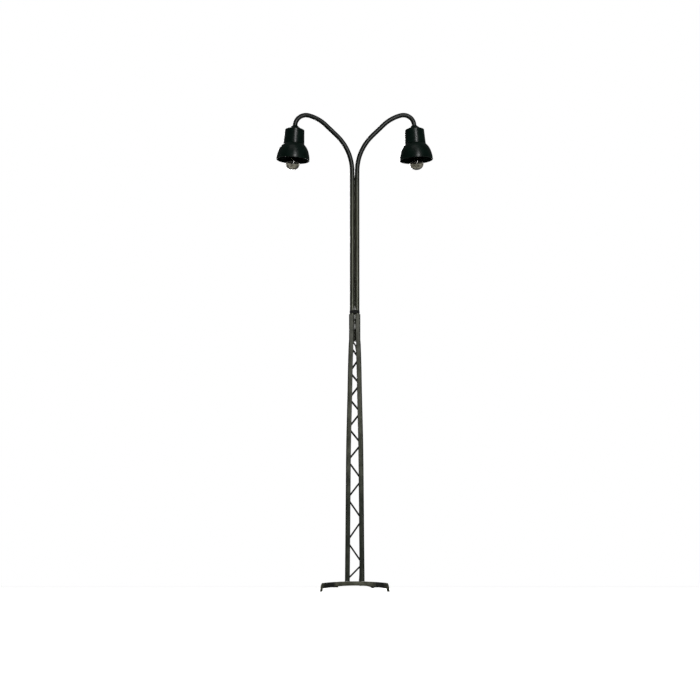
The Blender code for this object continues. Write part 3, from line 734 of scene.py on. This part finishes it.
# materials by slot
LOOKS = {"lamp_enamel": enamel_look(), "arm_paint": tube_look(), "mast_paint": mast_look(),
         "base_paint": base_look(), "solder": solder_look(), "contact_brass": brass_look(),
         "fibre": fibre_look(), "band": thread_look(), "cable_sleeve": sleeve_look(),
         "enamelled_wire": wire_look(), "bulb_glass": glass_look(),
         "bead_glass": bead_look(), "filament": filament_look()}
LACING_LOOK = mast_look("lacing_paint", darkening=0.88)

# ================================================================= base plate
ARCH_HALF_X, ARCH_STEPS = 7.66, 64
JOIN_X = 7.30                       # where feet and end strips start inside the arch
FOOT_Y0, FOOT_Y1 = 3.50, 5.486
STRIP_X1, STRIP_HALF_Y = 8.04, 5.21
CUP_X, HOLE_X = 5.60, 1.20
SLOT_PLAY = 0.03
NOTCH_HALF, NOTCH_Z, NOTCH_Y = 0.62, 1.79, 4.83


def arched_plate():
    """Section of the plate and its turned-down edges, carried along the arch."""
    rows = []
    y = PLATE_HALF_Y - 0.001
    inner = y - SHEET
    for i in range(ARCH_STEPS + 1):
        x = -ARCH_HALF_X + 2 * ARCH_HALF_X * i / ARCH_STEPS
        top = plate_top(x)
        edge, under = top - edge_depth(x), top - SHEET
        section = [(-y, edge), (-y, top), (y, top), (y, edge),
                   (inner, edge), (inner, under), (-inner, under), (-inner, edge)]
        radii = [0.10, 0.34, 0.34, 0.10, 0.10, 0.10, 0.10, 0.10]
        rows.append([(x, p.x, p.y) for p in fillet(section, radii, 5)])
    return make_object("stamped_base_plate", loft(rows), unit=1.0)


def add_plate_ends(plate):
    """Each end runs on into two feet bent down in one sweep, and a strip across."""
    top = plate_top(JOIN_X)
    # (x, z) outlines seen from the front
    foot = fillet([(JOIN_X, top - 0.006), (8.02, plate_top(8.02) - 0.03), (8.25, 1.40),
                   (8.455, 0.0), (8.455 - 0.46, 0.0), (8.25 - 0.45, 1.10),
                   (7.62, plate_top(7.62) - 0.45), (JOIN_X, top - 0.446)],
                  [0, 0.62, 0.6, 0.07, 0.07, 0.5, 0.14, 0], 6)
    strip_top = plate_top(STRIP_X1)
    strip = fillet([(JOIN_X, top - 0.009), (STRIP_X1, strip_top - 0.016),
                    (STRIP_X1, strip_top - 0.42), (JOIN_X, top - 0.431)],
                   [0, 0.16, 0.08, 0], 5)
    for side in (-1, 1):
        for end in (-1, 1):
            y0, y1 = sorted((FOOT_Y0 * end, FOOT_Y1 * end))
            combine(plate, prism_y([(p.x * side, p.y) for p in foot], y0, y1), 'UNION')
        combine(plate, prism_y([(p.x * side, p.y) for p in strip],
                               -STRIP_HALF_Y, STRIP_HALF_Y), 'UNION')


def turned_solid(outline, radii, steps, seg, x, turn=0.0):
    """Lathed solid standing at x, turned by some degrees about its axis."""
    shape = lathe(fillet(outline, radii, steps), seg)
    matrix = Matrix.Translation((x, 0, 0)) @ Matrix.Rotation(math.radians(turn), 4, 'Z')
    bmesh.ops.transform(shape, matrix=matrix, verts=shape.verts[:])
    return shape


def add_screw_cups(plate):
    """A boss under each end, then a countersunk cup cut down through it."""
    top = plate_top(CUP_X)
    boss = [(0.0, -(top - 0.2)), (1.80, -(top - 0.2)), (1.80, -(top - SHEET + 0.03)),
            (1.56, -1.46), (1.54, -1.05), (0.0, -1.05)]
    cup = [(0.0, -3.2), (1.62, -3.2), (1.62, -(top + 0.06)), (1.25, -(top - 0.16)),
           (1.20, -1.50), (0.65, -1.50), (0.65, -0.5), (0.0, -0.5)]
    for side in (-1, 1):
        combine(plate, turned_solid(boss, [0, 0, 0.25, 0.1, 0.14, 0], 5, 40,
                                    side * CUP_X), 'UNION')
    for side in (-1, 1):
        # turned so that its facets don't line up with the boss's
        combine(plate, turned_solid(cup, [0, 0, 0.0, 0.22, 0.12, 0.05, 0, 0], 5, 40,
                                    side * CUP_X, turn=1.7), 'DIFFERENCE')


def cut_openings(plate):
    """Round hole inside the mast, slots for the post tabs, notch for the sleeve."""
    top = plate_top(HOLE_X)
    hole = [(0.0, -3.2), (0.78, -3.2), (0.78, -(top + 0.01)), (0.70, -(top - 0.07)),
            (0.70, -0.5), (0.0, -0.5)]
    combine(plate, turned_solid(hole, [0, 0, 0, 0.03, 0, 0], 3, 32, HOLE_X, turn=2.3),
            'DIFFERENCE')
    y = TAB_HALF_Y + SLOT_PLAY
    for side in (-1, 1):
        x0, x1 = sorted((side * (FOOT_HALF - CHANNEL_SHEET - SLOT_PLAY),
                         side * (FOOT_HALF + SLOT_PLAY)))
        combine(plate, prism_z([(x0, -y), (x1, -y), (x1, y), (x0, y)], 1.0, 3.0),
                'DIFFERENCE')
    x0, x1 = SLEEVE_X - NOTCH_HALF, SLEEVE_X + NOTCH_HALF
    notch = fillet([(x0, 0.5), (x1, 0.5), (x1, NOTCH_Z), (x0, NOTCH_Z)], [0, 0, 0.2, 0.2], 4)
    combine(plate, prism_y(notch, NOTCH_Y, 6.0), 'DIFFERENCE')


def build_base():
    plate = arched_plate()
    add_plate_ends(plate)
    add_screw_cups(plate)
    cut_openings(plate)
    bevel(plate, width=0.045, angle=42)
    plate.data.transform(Matrix.Scale(MM, 4))
    plate.data.materials.clear()
    plate.data.materials.append(LOOKS["base_paint"])
    smooth(plate.data, sharp=35)
    attach(plate, "base_plate")


# ======================================================================= mast
# (height, half width) rows above the smooth curve, up to the eased head of the posts
MAST_HEAD_ROWS = [(62.15, 1.417), (62.5, 1.411), (63.5, 1.410), (66.0, 1.410),
                  (68.45, 1.410), (68.52, 1.403)]
# heights of the lacing's points from the foot up, on the left and right by turns
APEX = (2.85, 6.78, 12.25, 17.56, 22.79, 27.34, 32.07, 36.20, 40.17, 44.02,
        47.50, 50.99, 54.14, 57.52, 60.37)
LACE_INSET, LACE_HALF_WIDTH, LACE_SHEET = 0.46, 0.20, 0.15
LACE_FLAT = 0.13                    # from a point's centre out to its blunt tip


def build_channel(side, tag):
    depth = CHANNEL_DEPTH / 2
    inner = depth - CHANNEL_SHEET
    curve = catmull([(z, half) for z, half in reversed(MAST[1:])], 8)
    heights = [(p.x, p.y) for p in curve if p.x < 61.9] + MAST_HEAD_ROWS
    rows = []
    for z, half in heights:
        face = depth - (0.02 if z > 68.5 else 0.0)
        above = min(max((z - KNEE_Z0) / (KNEE_Z1 - KNEE_Z0), 0.0), 1.0)
        lip = half - FLANGE_FOOT + (FLANGE_FOOT - FLANGE_HEAD) * above
        web = half - CHANNEL_SHEET
        section = [(half, -face), (half, face), (lip, face), (lip, inner),
                   (web, inner), (web, -inner), (lip, -inner), (lip, -face)]
        radii = [0.26, 0.26, 0.07, 0.05, 0.10, 0.10, 0.05, 0.07]
        rows.append([(side * p.x, p.y, z) for p in fillet(section, radii, 5)])
    add_part("post_" + tag, loft(rows), "mast_channel_" + tag, "mast_paint", sharp=50)


def build_tab(side, tag):
    """Tongue of the post's web through its slot in the plate."""
    bottom = plate_top(FOOT_HALF) - SHEET - 0.35
    x0, x1 = FOOT_HALF - CHANNEL_SHEET + 0.004, FOOT_HALF - 0.004
    outline = fillet([(x0, bottom), (x1, bottom), (x1, 2.60), (x0, 2.60)],
                     [0.05, 0.05, 0, 0], 3)
    shape = prism_y([(side * p.x, p.y) for p in outline], -TAB_HALF_Y, TAB_HALF_Y)
    add_part("post_tab_" + tag, shape, None, "mast_paint", sharp=40)


def lacing_outline():
    """(x, z) outline of the zigzag strip, blunt at its outer corners."""
    centres = []
    for k, z in enumerate(APEX):
        side = -1 if k % 2 == 0 else 1
        centres.append(Vector((side * (mast_half(z) - LACE_INSET), z)))
    width = LACE_HALF_WIDTH
    left, right = [], []
    for k, p in enumerate(centres):
        side = -1 if k % 2 == 0 else 1
        if k in (0, len(centres) - 1):
            way = (centres[1] - p if k == 0 else p - centres[-2]).normalized()
            normal = Vector((-way.y, way.x))
            left.append(p + normal * width)
            right.append(p - normal * width)
            continue
        arrive = (p - centres[k - 1]).normalized()
        leave = (centres[k + 1] - p).normalized()
        arrive_normal = Vector((-arrive.y, arrive.x))
        leave_normal = Vector((-leave.y, leave.x))
        middle = (arrive_normal + leave_normal).normalized()
        mitre = width / max(middle.dot(arrive_normal), 0.2)
        outer, inner, sign = (left, right, 1) if side < 0 else (right, left, -1)
        flat = p.x + side * LACE_FLAT
        corners = []
        for normal, way in ((arrive_normal, arrive), (leave_normal, leave)):
            base = p + normal * (width * sign)
            corners.append(base + way * ((flat - base.x) / way.x))
        first, last = corners
        outer.extend([first - arrive * 0.08, first.lerp(last, 0.18),
                      first.lerp(last, 0.82), last + leave * 0.08])
        inner.append(p - middle * (mitre * sign))
    return left + right[::-1]


def build_lacing(tag, y0):
    shape = prism_y(lacing_outline(), y0 + 0.004, y0 + LACE_SHEET - 0.004)
    strip = make_object("zigzag_" + tag, shape, LACING_LOOK)
    bevel(strip, width=0.032 * MM, angle=60)
    smooth(strip.data, sharp=40)
    attach(strip, "lacing_" + tag)


# ============================================================== arms and joints
PAINTED_R, PAINTED_R_UPPER = 0.5985, 0.5830     # below and above the parting
THREAD_Z0, THREAD_Z1 = 68.80, 69.53
THREAD_TURNS, THREAD_STEPS, THREAD_RISE = 6, 8, 0.047


def build_arm(side, tag):
    path = [Vector((side * x, 0.0, z)) for x, z in ARM]
    x, z = head_axis(1.30)
    path.append(Vector((side * x, 0.0, z)))
    # the paint all but closes the seam between the two straight lengths
    radii = []
    for p in path:
        above = min(max((p.z - PARTING_Z0) / (PARTING_Z1 - PARTING_Z0), 0.0), 1.0)
        radii.append(PAINTED_R * (1 - above) + PAINTED_R_UPPER * above)
    add_part("swan_neck_" + tag, sweep(path, radii, 40, BORE_R), "arm_tube_" + tag,
             "arm_paint", sharp=50)


def groove_section(reach):
    """(x, y) loop of solder in the groove between the tubes, out to y = -reach."""
    y_side = min(reach, 0.57)
    left = []
    for k in range(8):
        y = 0.15 + (y_side - 0.15) * k / 7
        left.append((min(math.sqrt(SEAT_R * SEAT_R - y * y) - TUBE_X, -0.006), -y))
    half = -left[-1][0]
    face = []
    for k in range(1, 10):
        t = -1 + 2 * k / 10
        face.append((half * t, -y_side - (reach - y_side + 0.012) * (1 - abs(t) ** 2.6)))
    return left + face + [(-x, y) for x, y in reversed(left)]


def neck_reach(z):
    """Solder tapering upwards from the thread."""
    up = (z - 69.62) / 1.19
    return 0.20 + 0.43 * max(0.0, 1 - up) ** 0.75 * min(1.0, 0.80 + 3 * up)


def mast_reach(z):
    """Two runs of solder, one above the other."""
    low = math.exp(-((z - 65.40) / 0.82) ** 6)
    high = math.exp(-((z - 67.85) / 0.72) ** 6)
    return 0.26 + 0.48 * max(low, high)


def build_solders():
    for flip, tag in ((1, "front"), (-1, "rear")):
        for joint, z0, z1, reach in (("neck", 69.63, 70.80, neck_reach),
                                     ("mast", 64.57, 68.48, mast_reach)):
            rows = []
            for i in range(41):
                z = z0 + (z1 - z0) * i / 40
                rows.append([(x, y * flip, z) for x, y in groove_section(reach(z))])
            add_part(f"{joint}_fillet_{tag}", loft(rows), f"{joint}_solder_{tag}",
                     "solder", sharp=60)


def stadium(radius, z):
    """Loop round both tubes, radius out from their axes."""
    points = []
    for centre, start in ((TUBE_X, -90.0), (-TUBE_X, 90.0)):
        for k in range(19):
            a = math.radians(start + 180.0 * k / 18)
            points.append((centre + radius * math.cos(a), radius * math.sin(a), z))
    return points


def build_band():
    """Dark thread wound six times round both tubes."""
    loops = []
    for k in range(THREAD_TURNS * THREAD_STEPS + 1):
        t = k / (THREAD_TURNS * THREAD_STEPS)
        ridge = abs(math.sin(math.pi * THREAD_TURNS * t))
        loops.append(stadium(TUBE_R + GAP + 0.008 + THREAD_RISE * ridge ** 0.6,
                             THREAD_Z0 + (THREAD_Z1 - THREAD_Z0) * t))
    loops += [stadium(SEAT_R, THREAD_Z1), stadium(SEAT_R, THREAD_Z0)]
    add_part("thread_wrap", ring_skin(loops), "binding_band", "band", sharp=60)


# ====================================================================== heads
# Outlines are (radius, distance down from the neck) on the head's axis.
CAP_CURVE = [(0.70, 0.03), (0.85, 0.21), (1.20, 0.495), (1.64, 0.775), (2.10, 0.985)]
HOUSING_WALL = [(2.49, 2.30), (2.57, 3.60), (2.632, 4.70)]
# round the foot of the housing and back up its stepped bore
HOUSING_BORE = [(2.632, 4.70), (2.638, 4.855), (2.20, 4.86), (2.20, 6.00), (1.75, 6.00),
                (1.75, 2.12), (1.00, 2.12), (1.00, 1.52), (0.62, 1.52), (0.62, 0.01)]
HOUSING_BORE_RADII = [0, 0.06, 0.04, 0.06, 0.06, 0.08, 0.05, 0.05, 0.03, 0]

BELL_OUTSIDE = [(2.84, 5.07), (3.09, 5.36), (3.42, 5.84), (3.70, 6.42), (3.89, 7.00),
                (4.045, 7.60), (4.15, 8.25), (4.19, 8.75)]
BELL_LIP = [(4.19, 8.75), (4.208, 8.998), (4.01, 8.998), (3.99, 8.78)]
BELL_INSIDE = [(3.99, 8.78), (3.95, 8.28), (3.83, 7.66), (3.68, 7.08), (3.50, 6.52),
               (3.25, 6.02), (2.94, 5.64), (2.62, 5.47)]

# Turned parts: name, CAD node, slot, segments, steps per corner, outline, corner radii
CONTACTS = (
    ("insulating_disc_", "contact_disc_", "fibre", 64, 3,
     [(0.36, 2.16), (1.72, 2.16), (1.72, 2.55), (0.36, 2.55)], 0.04),
    ("centre_rivet_", "contact_rivet_", "contact_brass", 48, 4,
     [(0.0, 1.92), (0.32, 1.92), (0.32, 2.57), (0.66, 2.57), (0.60, 2.76),
      (0.30, 2.795), (0.0, 2.80)],
     [0, 0.05, 0.02, 0.06, 0.10, 0.1, 0]),
    ("socket_", "socket_sleeve_", "contact_brass", 72, 4,
     [(1.38, 2.58), (1.72, 2.58), (1.72, 5.26), (1.60, 5.44), (1.48, 5.45), (1.38, 5.30)],
     [0.04, 0.04, 0.1, 0.05, 0.04, 0.05]),
)
PLUG = (
    ("plug_shell_", "bulb_shell_", "contact_brass", 72, 4,
     [(0.62, 3.02), (1.20, 3.02), (1.35, 3.18), (1.35, 4.30), (1.30, 4.36), (1.30, 4.46),
      (1.35, 4.52), (1.35, 5.80), (1.22, 5.80), (1.22, 3.16), (0.62, 3.16)],
     [0.05, 0.08, 0.08, 0.03, 0.03, 0.03, 0.03, 0.05, 0.04, 0.05, 0.04]),
    ("plug_seal_", "bulb_insulator_", "fibre", 48, 3,
     [(0.33, 3.19), (1.19, 3.19), (1.19, 3.60), (0.33, 3.60)], 0.04),
    ("plug_tip_", "bulb_tip_contact_", "solder", 36, 5,
     [(0.0, 2.84), (0.30, 2.87), (0.50, 3.02), (0.50, 3.16), (0.30, 3.16), (0.30, 3.90),
      (0.0, 3.90)],
     [0, 0.2, 0.1, 0.03, 0.02, 0.04, 0]),
)

DOME_DOWN, GLASS_R, GLASS_BORE = 9.71, 1.755, 1.60
GLASS_OUTSIDE = [(1.18, 5.70), (1.20, 5.92), (1.40, 6.16), (1.57, 6.50), (1.65, 7.00),
                 (1.725, 8.50), (GLASS_R, DOME_DOWN)]
GLASS_TIP = [(0.150, 11.447), (0.100, 11.458), (0.050, 11.473), (0.0, 11.476)]
GLASS_INSIDE = [(GLASS_BORE, DOME_DOWN), (1.56, 8.40), (1.49, 7.04), (1.42, 6.62),
                (1.26, 6.30), (1.05, 6.02), (1.02, 5.60)]
BEAD = [(0.0, 6.305), (0.22, 6.32), (0.40, 6.39), (0.51, 6.52), (0.515, 6.68),
        (0.40, 6.81), (0.22, 6.88), (0.0, 6.895)]

# filament: a coil along a half-circle flattened in height, between two leads (x, y, z)
COIL_TURNS, COIL_STEPS, COIL_R = 15, 10, 0.055
COIL_HALF_X, COIL_DROP, COIL_DOWN = 0.62, 0.40, 9.30
LEAD_R, COIL_JOIN_R, COIL_WIRE_R = 0.048, 0.03, 0.016
LEAD_IN = [(0.0, 0, -3.93), (0.0, 0, -4.30), (-0.20, 0, -5.20), (-0.26, 0, -6.00),
           (-0.26, 0, -7.10), (-0.50, 0, -8.60), (-COIL_HALF_X, 0, -COIL_DOWN)]
LEAD_OUT = [(COIL_HALF_X, 0, -COIL_DOWN), (0.50, 0, -8.60), (0.26, 0, -7.10),
            (0.26, 0, -6.00), (0.55, 0, -5.30), (0.90, 0, -4.60), (0.94, 0, -4.02)]


def build_housing(tag, matrix):
    shoulder = fillet([(2.10, 0.985), (2.435, 1.14), (2.49, 2.30)], [0, 0.18, 0], 7,
                      closed=False)
    bore = fillet(HOUSING_BORE, HOUSING_BORE_RADII, 4, closed=False)
    outline = ([(0.63, 0.0), (0.68, 0.008)] + catmull(CAP_CURVE, 5) + shoulder[1:-1]
               + HOUSING_WALL + bore[1:])
    add_part("housing_" + tag, lathe(outline, 96), "lamp_housing_" + tag, "lamp_enamel",
             matrix=matrix, sharp=50)


def build_shade(tag, matrix):
    collar = fillet([(2.23, 4.895), (2.68, 4.895), (2.84, 5.07)], [0, 0.06, 0], 4,
                    closed=False)
    lip = fillet(BELL_LIP, [0, 0.09, 0.09, 0], 6, closed=False)
    outline = ([(2.23, 4.92)] + collar[1:-1] + catmull(BELL_OUTSIDE, 6)[:-1] + lip
               + catmull(BELL_INSIDE, 5)[1:] + [(2.26, 5.44), (2.23, 5.41)])
    add_part("bell_shade_" + tag, lathe(outline, 128), "lamp_shade_" + tag, "lamp_enamel",
             matrix=matrix, sharp=50)


def build_turned(parts, body, tag, matrix):
    for name, node, slot, seg, steps, outline, radii in parts:
        add_part(name + tag, lathe(fillet(outline, radii, steps), seg), node + tag, slot,
                 body, matrix, sharp=50)


def dome(radius, rise):
    """Blunt round end, from near its rim to near the axis."""
    points = []
    for angle in range(6, 85, 6):
        a = math.radians(angle)
        points.append((radius * math.cos(a) ** 0.87, DOME_DOWN + rise * math.sin(a) ** 0.87))
    return points


def build_glass(body, tag, matrix):
    outside = ([(1.10, 4.10), (1.18, 4.16)] + catmull(GLASS_OUTSIDE, 5)
               + dome(GLASS_R, 1.725) + GLASS_TIP)
    inside = ([(0.0, 11.262), (0.08, 11.260)] + dome(GLASS_BORE, 1.55)[::-1]
              + catmull(GLASS_INSIDE, 5) + [(1.02, 4.16), (1.06, 4.10)])
    add_part("glass_envelope_" + tag, lathe(outside + inside, 72), "bulb_glass_" + tag,
             "bulb_glass", body, matrix)


def build_bead(body, tag, matrix):
    outline = [(max(p.x, 0.0), p.y) for p in catmull(BEAD, 4)]
    outline[-1] = BEAD[-1]          # exactly on the axis
    add_part("stem_bead_" + tag, lathe(outline, 40), "bulb_bead_" + tag, "bead_glass",
             body, matrix)


def build_filament(body, tag, matrix):
    """Leads and coiled filament in one run."""
    coil = []
    for k in range(COIL_TURNS * COIL_STEPS + 1):
        t = k / (COIL_TURNS * COIL_STEPS)
        a = math.pi * t
        centre = Vector((-COIL_HALF_X * math.cos(a), 0.0,
                         -COIL_DOWN - COIL_DROP * math.sin(a)))
        outward = Vector((-math.cos(a), 0.0, -math.sin(a))).normalized()
        radius = COIL_R * min(1.0, 8 * t, 8 * (1 - t))
        phase = TAU * COIL_TURNS * t
        coil.append(centre + outward * (radius * math.cos(phase))
                    + Vector((0, radius * math.sin(phase), 0)))
    lead_in, lead_out = catmull(LEAD_IN, 5), catmull(LEAD_OUT, 5)
    path = lead_in + coil[1:-1] + lead_out
    radii = ([LEAD_R] * (len(lead_in) - 1) + [COIL_JOIN_R]
             + [COIL_WIRE_R] * (len(coil) - 2)
             + [COIL_JOIN_R] + [LEAD_R] * (len(lead_out) - 1))
    add_part("filament_" + tag, sweep(path, radii, 8), "bulb_filament_" + tag, "filament",
             body, matrix, sharp=60)


def build_head(side, tag):
    matrix = head_matrix(side)
    bulb = tag + "_bulb"
    build_housing(tag, matrix)
    build_shade(tag, matrix)
    build_turned(CONTACTS, "lamp", tag, matrix)
    build_turned(PLUG, bulb, tag, matrix)
    build_glass(bulb, tag, matrix)
    build_bead(bulb, tag, matrix)
    build_filament(bulb, tag, matrix)


# ====================================================================== wires
WIRE_R, BARE_R = 0.197, 0.115
STRIP_Y, WIRE_END_Y = 5.15, 5.50
# (x, z) of the three wires from the sleeve's axis
WIRE_PLACES = ((-0.204, 0.118), (0.0, -0.235), (0.204, 0.118))
# (y, radius) round the sleeve's section
SLEEVE_SECTION = ((3.00, 0.447), (3.00, 0.50), (3.02, 0.54), (3.07, 0.557),
                  (4.93, 0.557), (4.98, 0.54), (5.00, 0.50), (5.00, 0.447))
POST_HEIGHTS = (53.5, 46.6, 34.7, 21.4, 9.7, 7.0)
# Feed wires: side, tag, place in the sleeve, y down the post, then points (x, y, z)
# from the tube's foot to the post, and from the post's foot to the sleeve
FEED_WIRES = (
    (-1, "left", 1, -0.30,
     [(-TUBE_X, 0, 62.6), (-0.50, -0.03, 61.90), (-0.30, -0.10, 61.45),
      (0.0, -0.20, 61.0), (0.27, -0.27, 60.5), (0.37, -0.30, 59.9)],
     [(1.28, -0.27, 4.0), (1.24, -0.20, 2.8), (1.36, -0.04, 1.96), (1.70, 0.52, 1.70),
      (2.30, 1.10, 1.66), (3.10, 1.52, 1.54), (3.80, 1.88, 1.36), (4.32, 2.40, 1.17)]),
    (1, "right", 0, 0.30,
     [(TUBE_X, 0, 62.2), (0.60, 0.04, 61.40), (0.66, 0.16, 60.7), (0.92, 0.27, 59.9)],
     [(1.56, 0.30, 4.9), (1.26, 0.36, 3.4), (1.15, 0.38, 2.06), (1.22, 0.84, 1.64),
      (1.80, 1.60, 1.62), (2.65, 2.10, 1.60), (3.50, 2.42, 1.54)]),
)
RETURN_WIRE = [(7.05, 2.75, 1.48), (6.40, 2.45, 1.48), (5.60, 2.30, 1.48),
               (5.00, 2.45, 1.48)]


def by_post(z, y):
    """Place of a wire beside the right-hand post."""
    return (mast_half(z) - (1.04 if y < 0 else 0.42), y, z)


def build_wire(name, node, path, floor_points, place):
    """Wire along path and the floor points, then out through the sleeve."""
    x, z = SLEEVE_X + WIRE_PLACES[place][0], SLEEVE_Z + WIRE_PLACES[place][1]
    path = path + catmull(floor_points + [(x, SLEEVE_Y - 0.05, z)], 5)
    path += [(x, y, z) for y in (4.0, STRIP_Y - 0.01)]
    radii = [WIRE_R] * len(path) + [BARE_R] * 2
    path += [(x, y, z) for y in (STRIP_Y, WIRE_END_Y - 0.001)]
    add_part(name, sweep(path, radii, 16), node, "enamelled_wire", sharp=60)


def build_wires():
    inside_head = [head_axis(1.88), head_axis(1.20)]
    for side, tag, place, y, mast_head, floor_points in FEED_WIRES:
        path = [(side * x, 0, z) for x, z in inside_head + ARM[:1:-1]]
        path += catmull(mast_head + [by_post(58.8, y), by_post(57.0, y)], 5)
        path += catmull([by_post(z, y) for z in POST_HEIGHTS], 3)
        build_wire("lead_" + tag, "feed_wire_" + tag, path, floor_points, place)
    build_wire("lead_return", "return_wire", [], RETURN_WIRE, 2)


def build_sleeve():
    loops = []
    for y, radius in SLEEVE_SECTION:
        loops.append([(SLEEVE_X + radius * math.cos(TAU * k / 36), y,
                       SLEEVE_Z + radius * math.sin(TAU * k / 36)) for k in range(36)])
    add_part("sleeving", ring_skin(loops), "cable_sleeve", "cable_sleeve", sharp=60)


build_base()
for side, tag in SIDES:
    build_channel(side, tag)
for side, tag in SIDES:
    build_tab(side, tag)
lacing_y = CHANNEL_DEPTH / 2 - CHANNEL_SHEET - GAP
build_lacing("front", -lacing_y)
build_lacing("rear", lacing_y - LACE_SHEET)
for side, tag in SIDES:
    build_arm(side, tag)
build_band()
build_solders()
for side, tag in SIDES:
    build_head(side, tag)
build_wires()
build_sleeve()

# CAD nodes that stay shown get a worked material of their own
for node in ("foot_solder_left", "foot_solder_right"):
    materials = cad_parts[node].data.materials
    materials.clear()
    materials.append(LOOKS["solder"])


# ============================================================ floor and world
def floor_look():
    """Pale paper: blends into the white surround, keeps a soft contact shadow."""
    look = Look("floor_paper")
    paper = look.ramp(look.noise(scale=0.02, detail=3, rough=0.5), (0.3, 0.86), (0.7, 0.90))
    look.set(color=paper, rough=0.9, spec=0.0)
    look.bsdf.inputs["Emission Color"].default_value = (1, 1, 1, 1)
    look.bsdf.inputs["Emission Strength"].default_value = 0.90
    # the lamp is lit by a dimmer sheet than the camera sees
    dim = look.new("ShaderNodeBsdfDiffuse")
    dim.inputs["Color"].default_value = (0.30, 0.30, 0.295, 1)
    camera_ray = look.new("ShaderNodeLightPath").outputs["Is Camera Ray"]
    sheet = look.mix_shaders(camera_ray, dim.outputs[0], look.bsdf.outputs[0])
    # a view from below looks through the sheet
    geometry = look.new("ShaderNodeNewGeometry")
    incoming = look.axis('Z', geometry.outputs["Incoming"])
    below = look.times(look.math('LESS_THAN', incoming, 0.0), camera_ray)
    clear = look.new("ShaderNodeBsdfTransparent")
    look.feed(look.out.inputs[0], look.mix_shaders(below, sheet, clear.outputs[0]))
    return look.material


def build_floor():
    mesh = bpy.data.meshes.new("floor")
    shape = bmesh.new()
    bmesh.ops.create_circle(shape, cap_ends=True, segments=96, radius=3.0)  # metres
    shape.to_mesh(mesh)
    shape.free()
    floor = bpy.data.objects.new("floor", mesh)
    bpy.context.scene.collection.objects.link(floor)
    mesh.materials.append(floor_look())


def build_world():
    """White to the camera and mostly so through glass; a faint glow to all else."""
    world = bpy.data.worlds.new("studio")
    bpy.context.scene.world = world
    world.use_nodes = True
    graph = Graph(world.node_tree, "ShaderNodeOutputWorld")
    seen = graph.new("ShaderNodeBackground")
    seen.inputs["Color"].default_value = (1, 1, 1, 1)
    seen.inputs["Strength"].default_value = 1.0
    glow = graph.new("ShaderNodeBackground")
    glow.inputs["Color"].default_value = (1.0, 1.0, 0.99, 1)
    ray = graph.new("ShaderNodeLightPath").outputs
    coord = graph.new("ShaderNodeTexCoord")
    split = graph.new("ShaderNodeSeparateXYZ")
    graph.feed(split.inputs[0], coord.outputs["Generated"])
    back = graph.span(split.outputs["Y"], over=(-0.20, 0.90), to=(0.06, 0.07), smooth=True)
    above = graph.span(split.outputs["Z"], over=(0.50, 0.95), to=(0.0, 0.03), smooth=True)
    graph.feed(glow.inputs["Strength"], graph.math('ADD', back, above))
    through_glass = 0.85
    white = graph.math('MAXIMUM', ray["Is Camera Ray"],
                       graph.times(ray["Is Transmission Ray"], through_glass))
    graph.feed(graph.out.inputs[0],
               graph.mix_shaders(white, glow.outputs[0], seen.outputs[0]))


# ============================================================ lights and camera
# name, place, target, (width, height), watts, seen in gloss, seen through glass
LIGHTS = (
    ("key_strip", (110, -410, 190), (0, 0, 90), (90, 220), 0.66, True, True),
    ("key_high", (100, -330, 330), (0, 0, 100), (90, 160), 0.12, True, True),
    ("glint", (60, -420, 50), (0, 0, 100), (70, 90), 0.14, True, True),
    ("overhead", (-40, -200, 460), (0, 0, 40), (260, 200), 0.08, True, True),
    # these model the rear and the sides, and put no glow in the bulbs
    ("rear_strip", (-70, 420, 190), (0, 0, 80), (110, 240), 0.80, True, False),
    ("rear_high", (60, 300, 380), (0, 0, 60), (160, 160), 0.16, False, False),
    ("side_left", (-430, 110, 170), (0, 0, 70), (90, 220), 0.34, False, False),
    ("side_right", (430, 110, 170), (0, 0, 70), (90, 220), 0.34, False, False),
)
CAMERA_PLACE = (-1.166253, -460.0, 1.6)
CAMERA_TILT = math.radians(7.189)           # upwards
CAMERA_LENS, SENSOR_WIDTH = 95.862857, 36.0


def build_lights():
    for name, place, target, (width, height), watts, gloss, through in LIGHTS:
        data = bpy.data.lights.new(name, 'AREA')
        data.shape = 'RECTANGLE'
        data.size, data.size_y = width * MM, height * MM
        data.energy = watts
        light = bpy.data.objects.new(name, data)
        light.location = Vector(place) * MM
        aim = Vector(target) * MM - light.location
        light.rotation_euler = aim.to_track_quat('-Z', 'Y').to_euler()
        light.visible_glossy = gloss
        light.visible_transmission = through
        bpy.context.scene.collection.objects.link(light)


def build_camera():
    data = bpy.data.cameras.new("camera")
    data.sensor_width = SENSOR_WIDTH
    data.lens = CAMERA_LENS
    data.clip_start, data.clip_end = 0.01, 20.0     # metres
    camera = bpy.data.objects.new("camera", data)
    camera.location = Vector(CAMERA_PLACE) * MM
    camera.rotation_euler = (math.pi / 2 + CAMERA_TILT, 0.0, 0.0)
    bpy.context.scene.collection.objects.link(camera)
    bpy.context.scene.camera = camera


build_floor()
build_world()
build_lights()
build_camera()
bpy.context.scene.view_settings.view_transform = 'Standard'
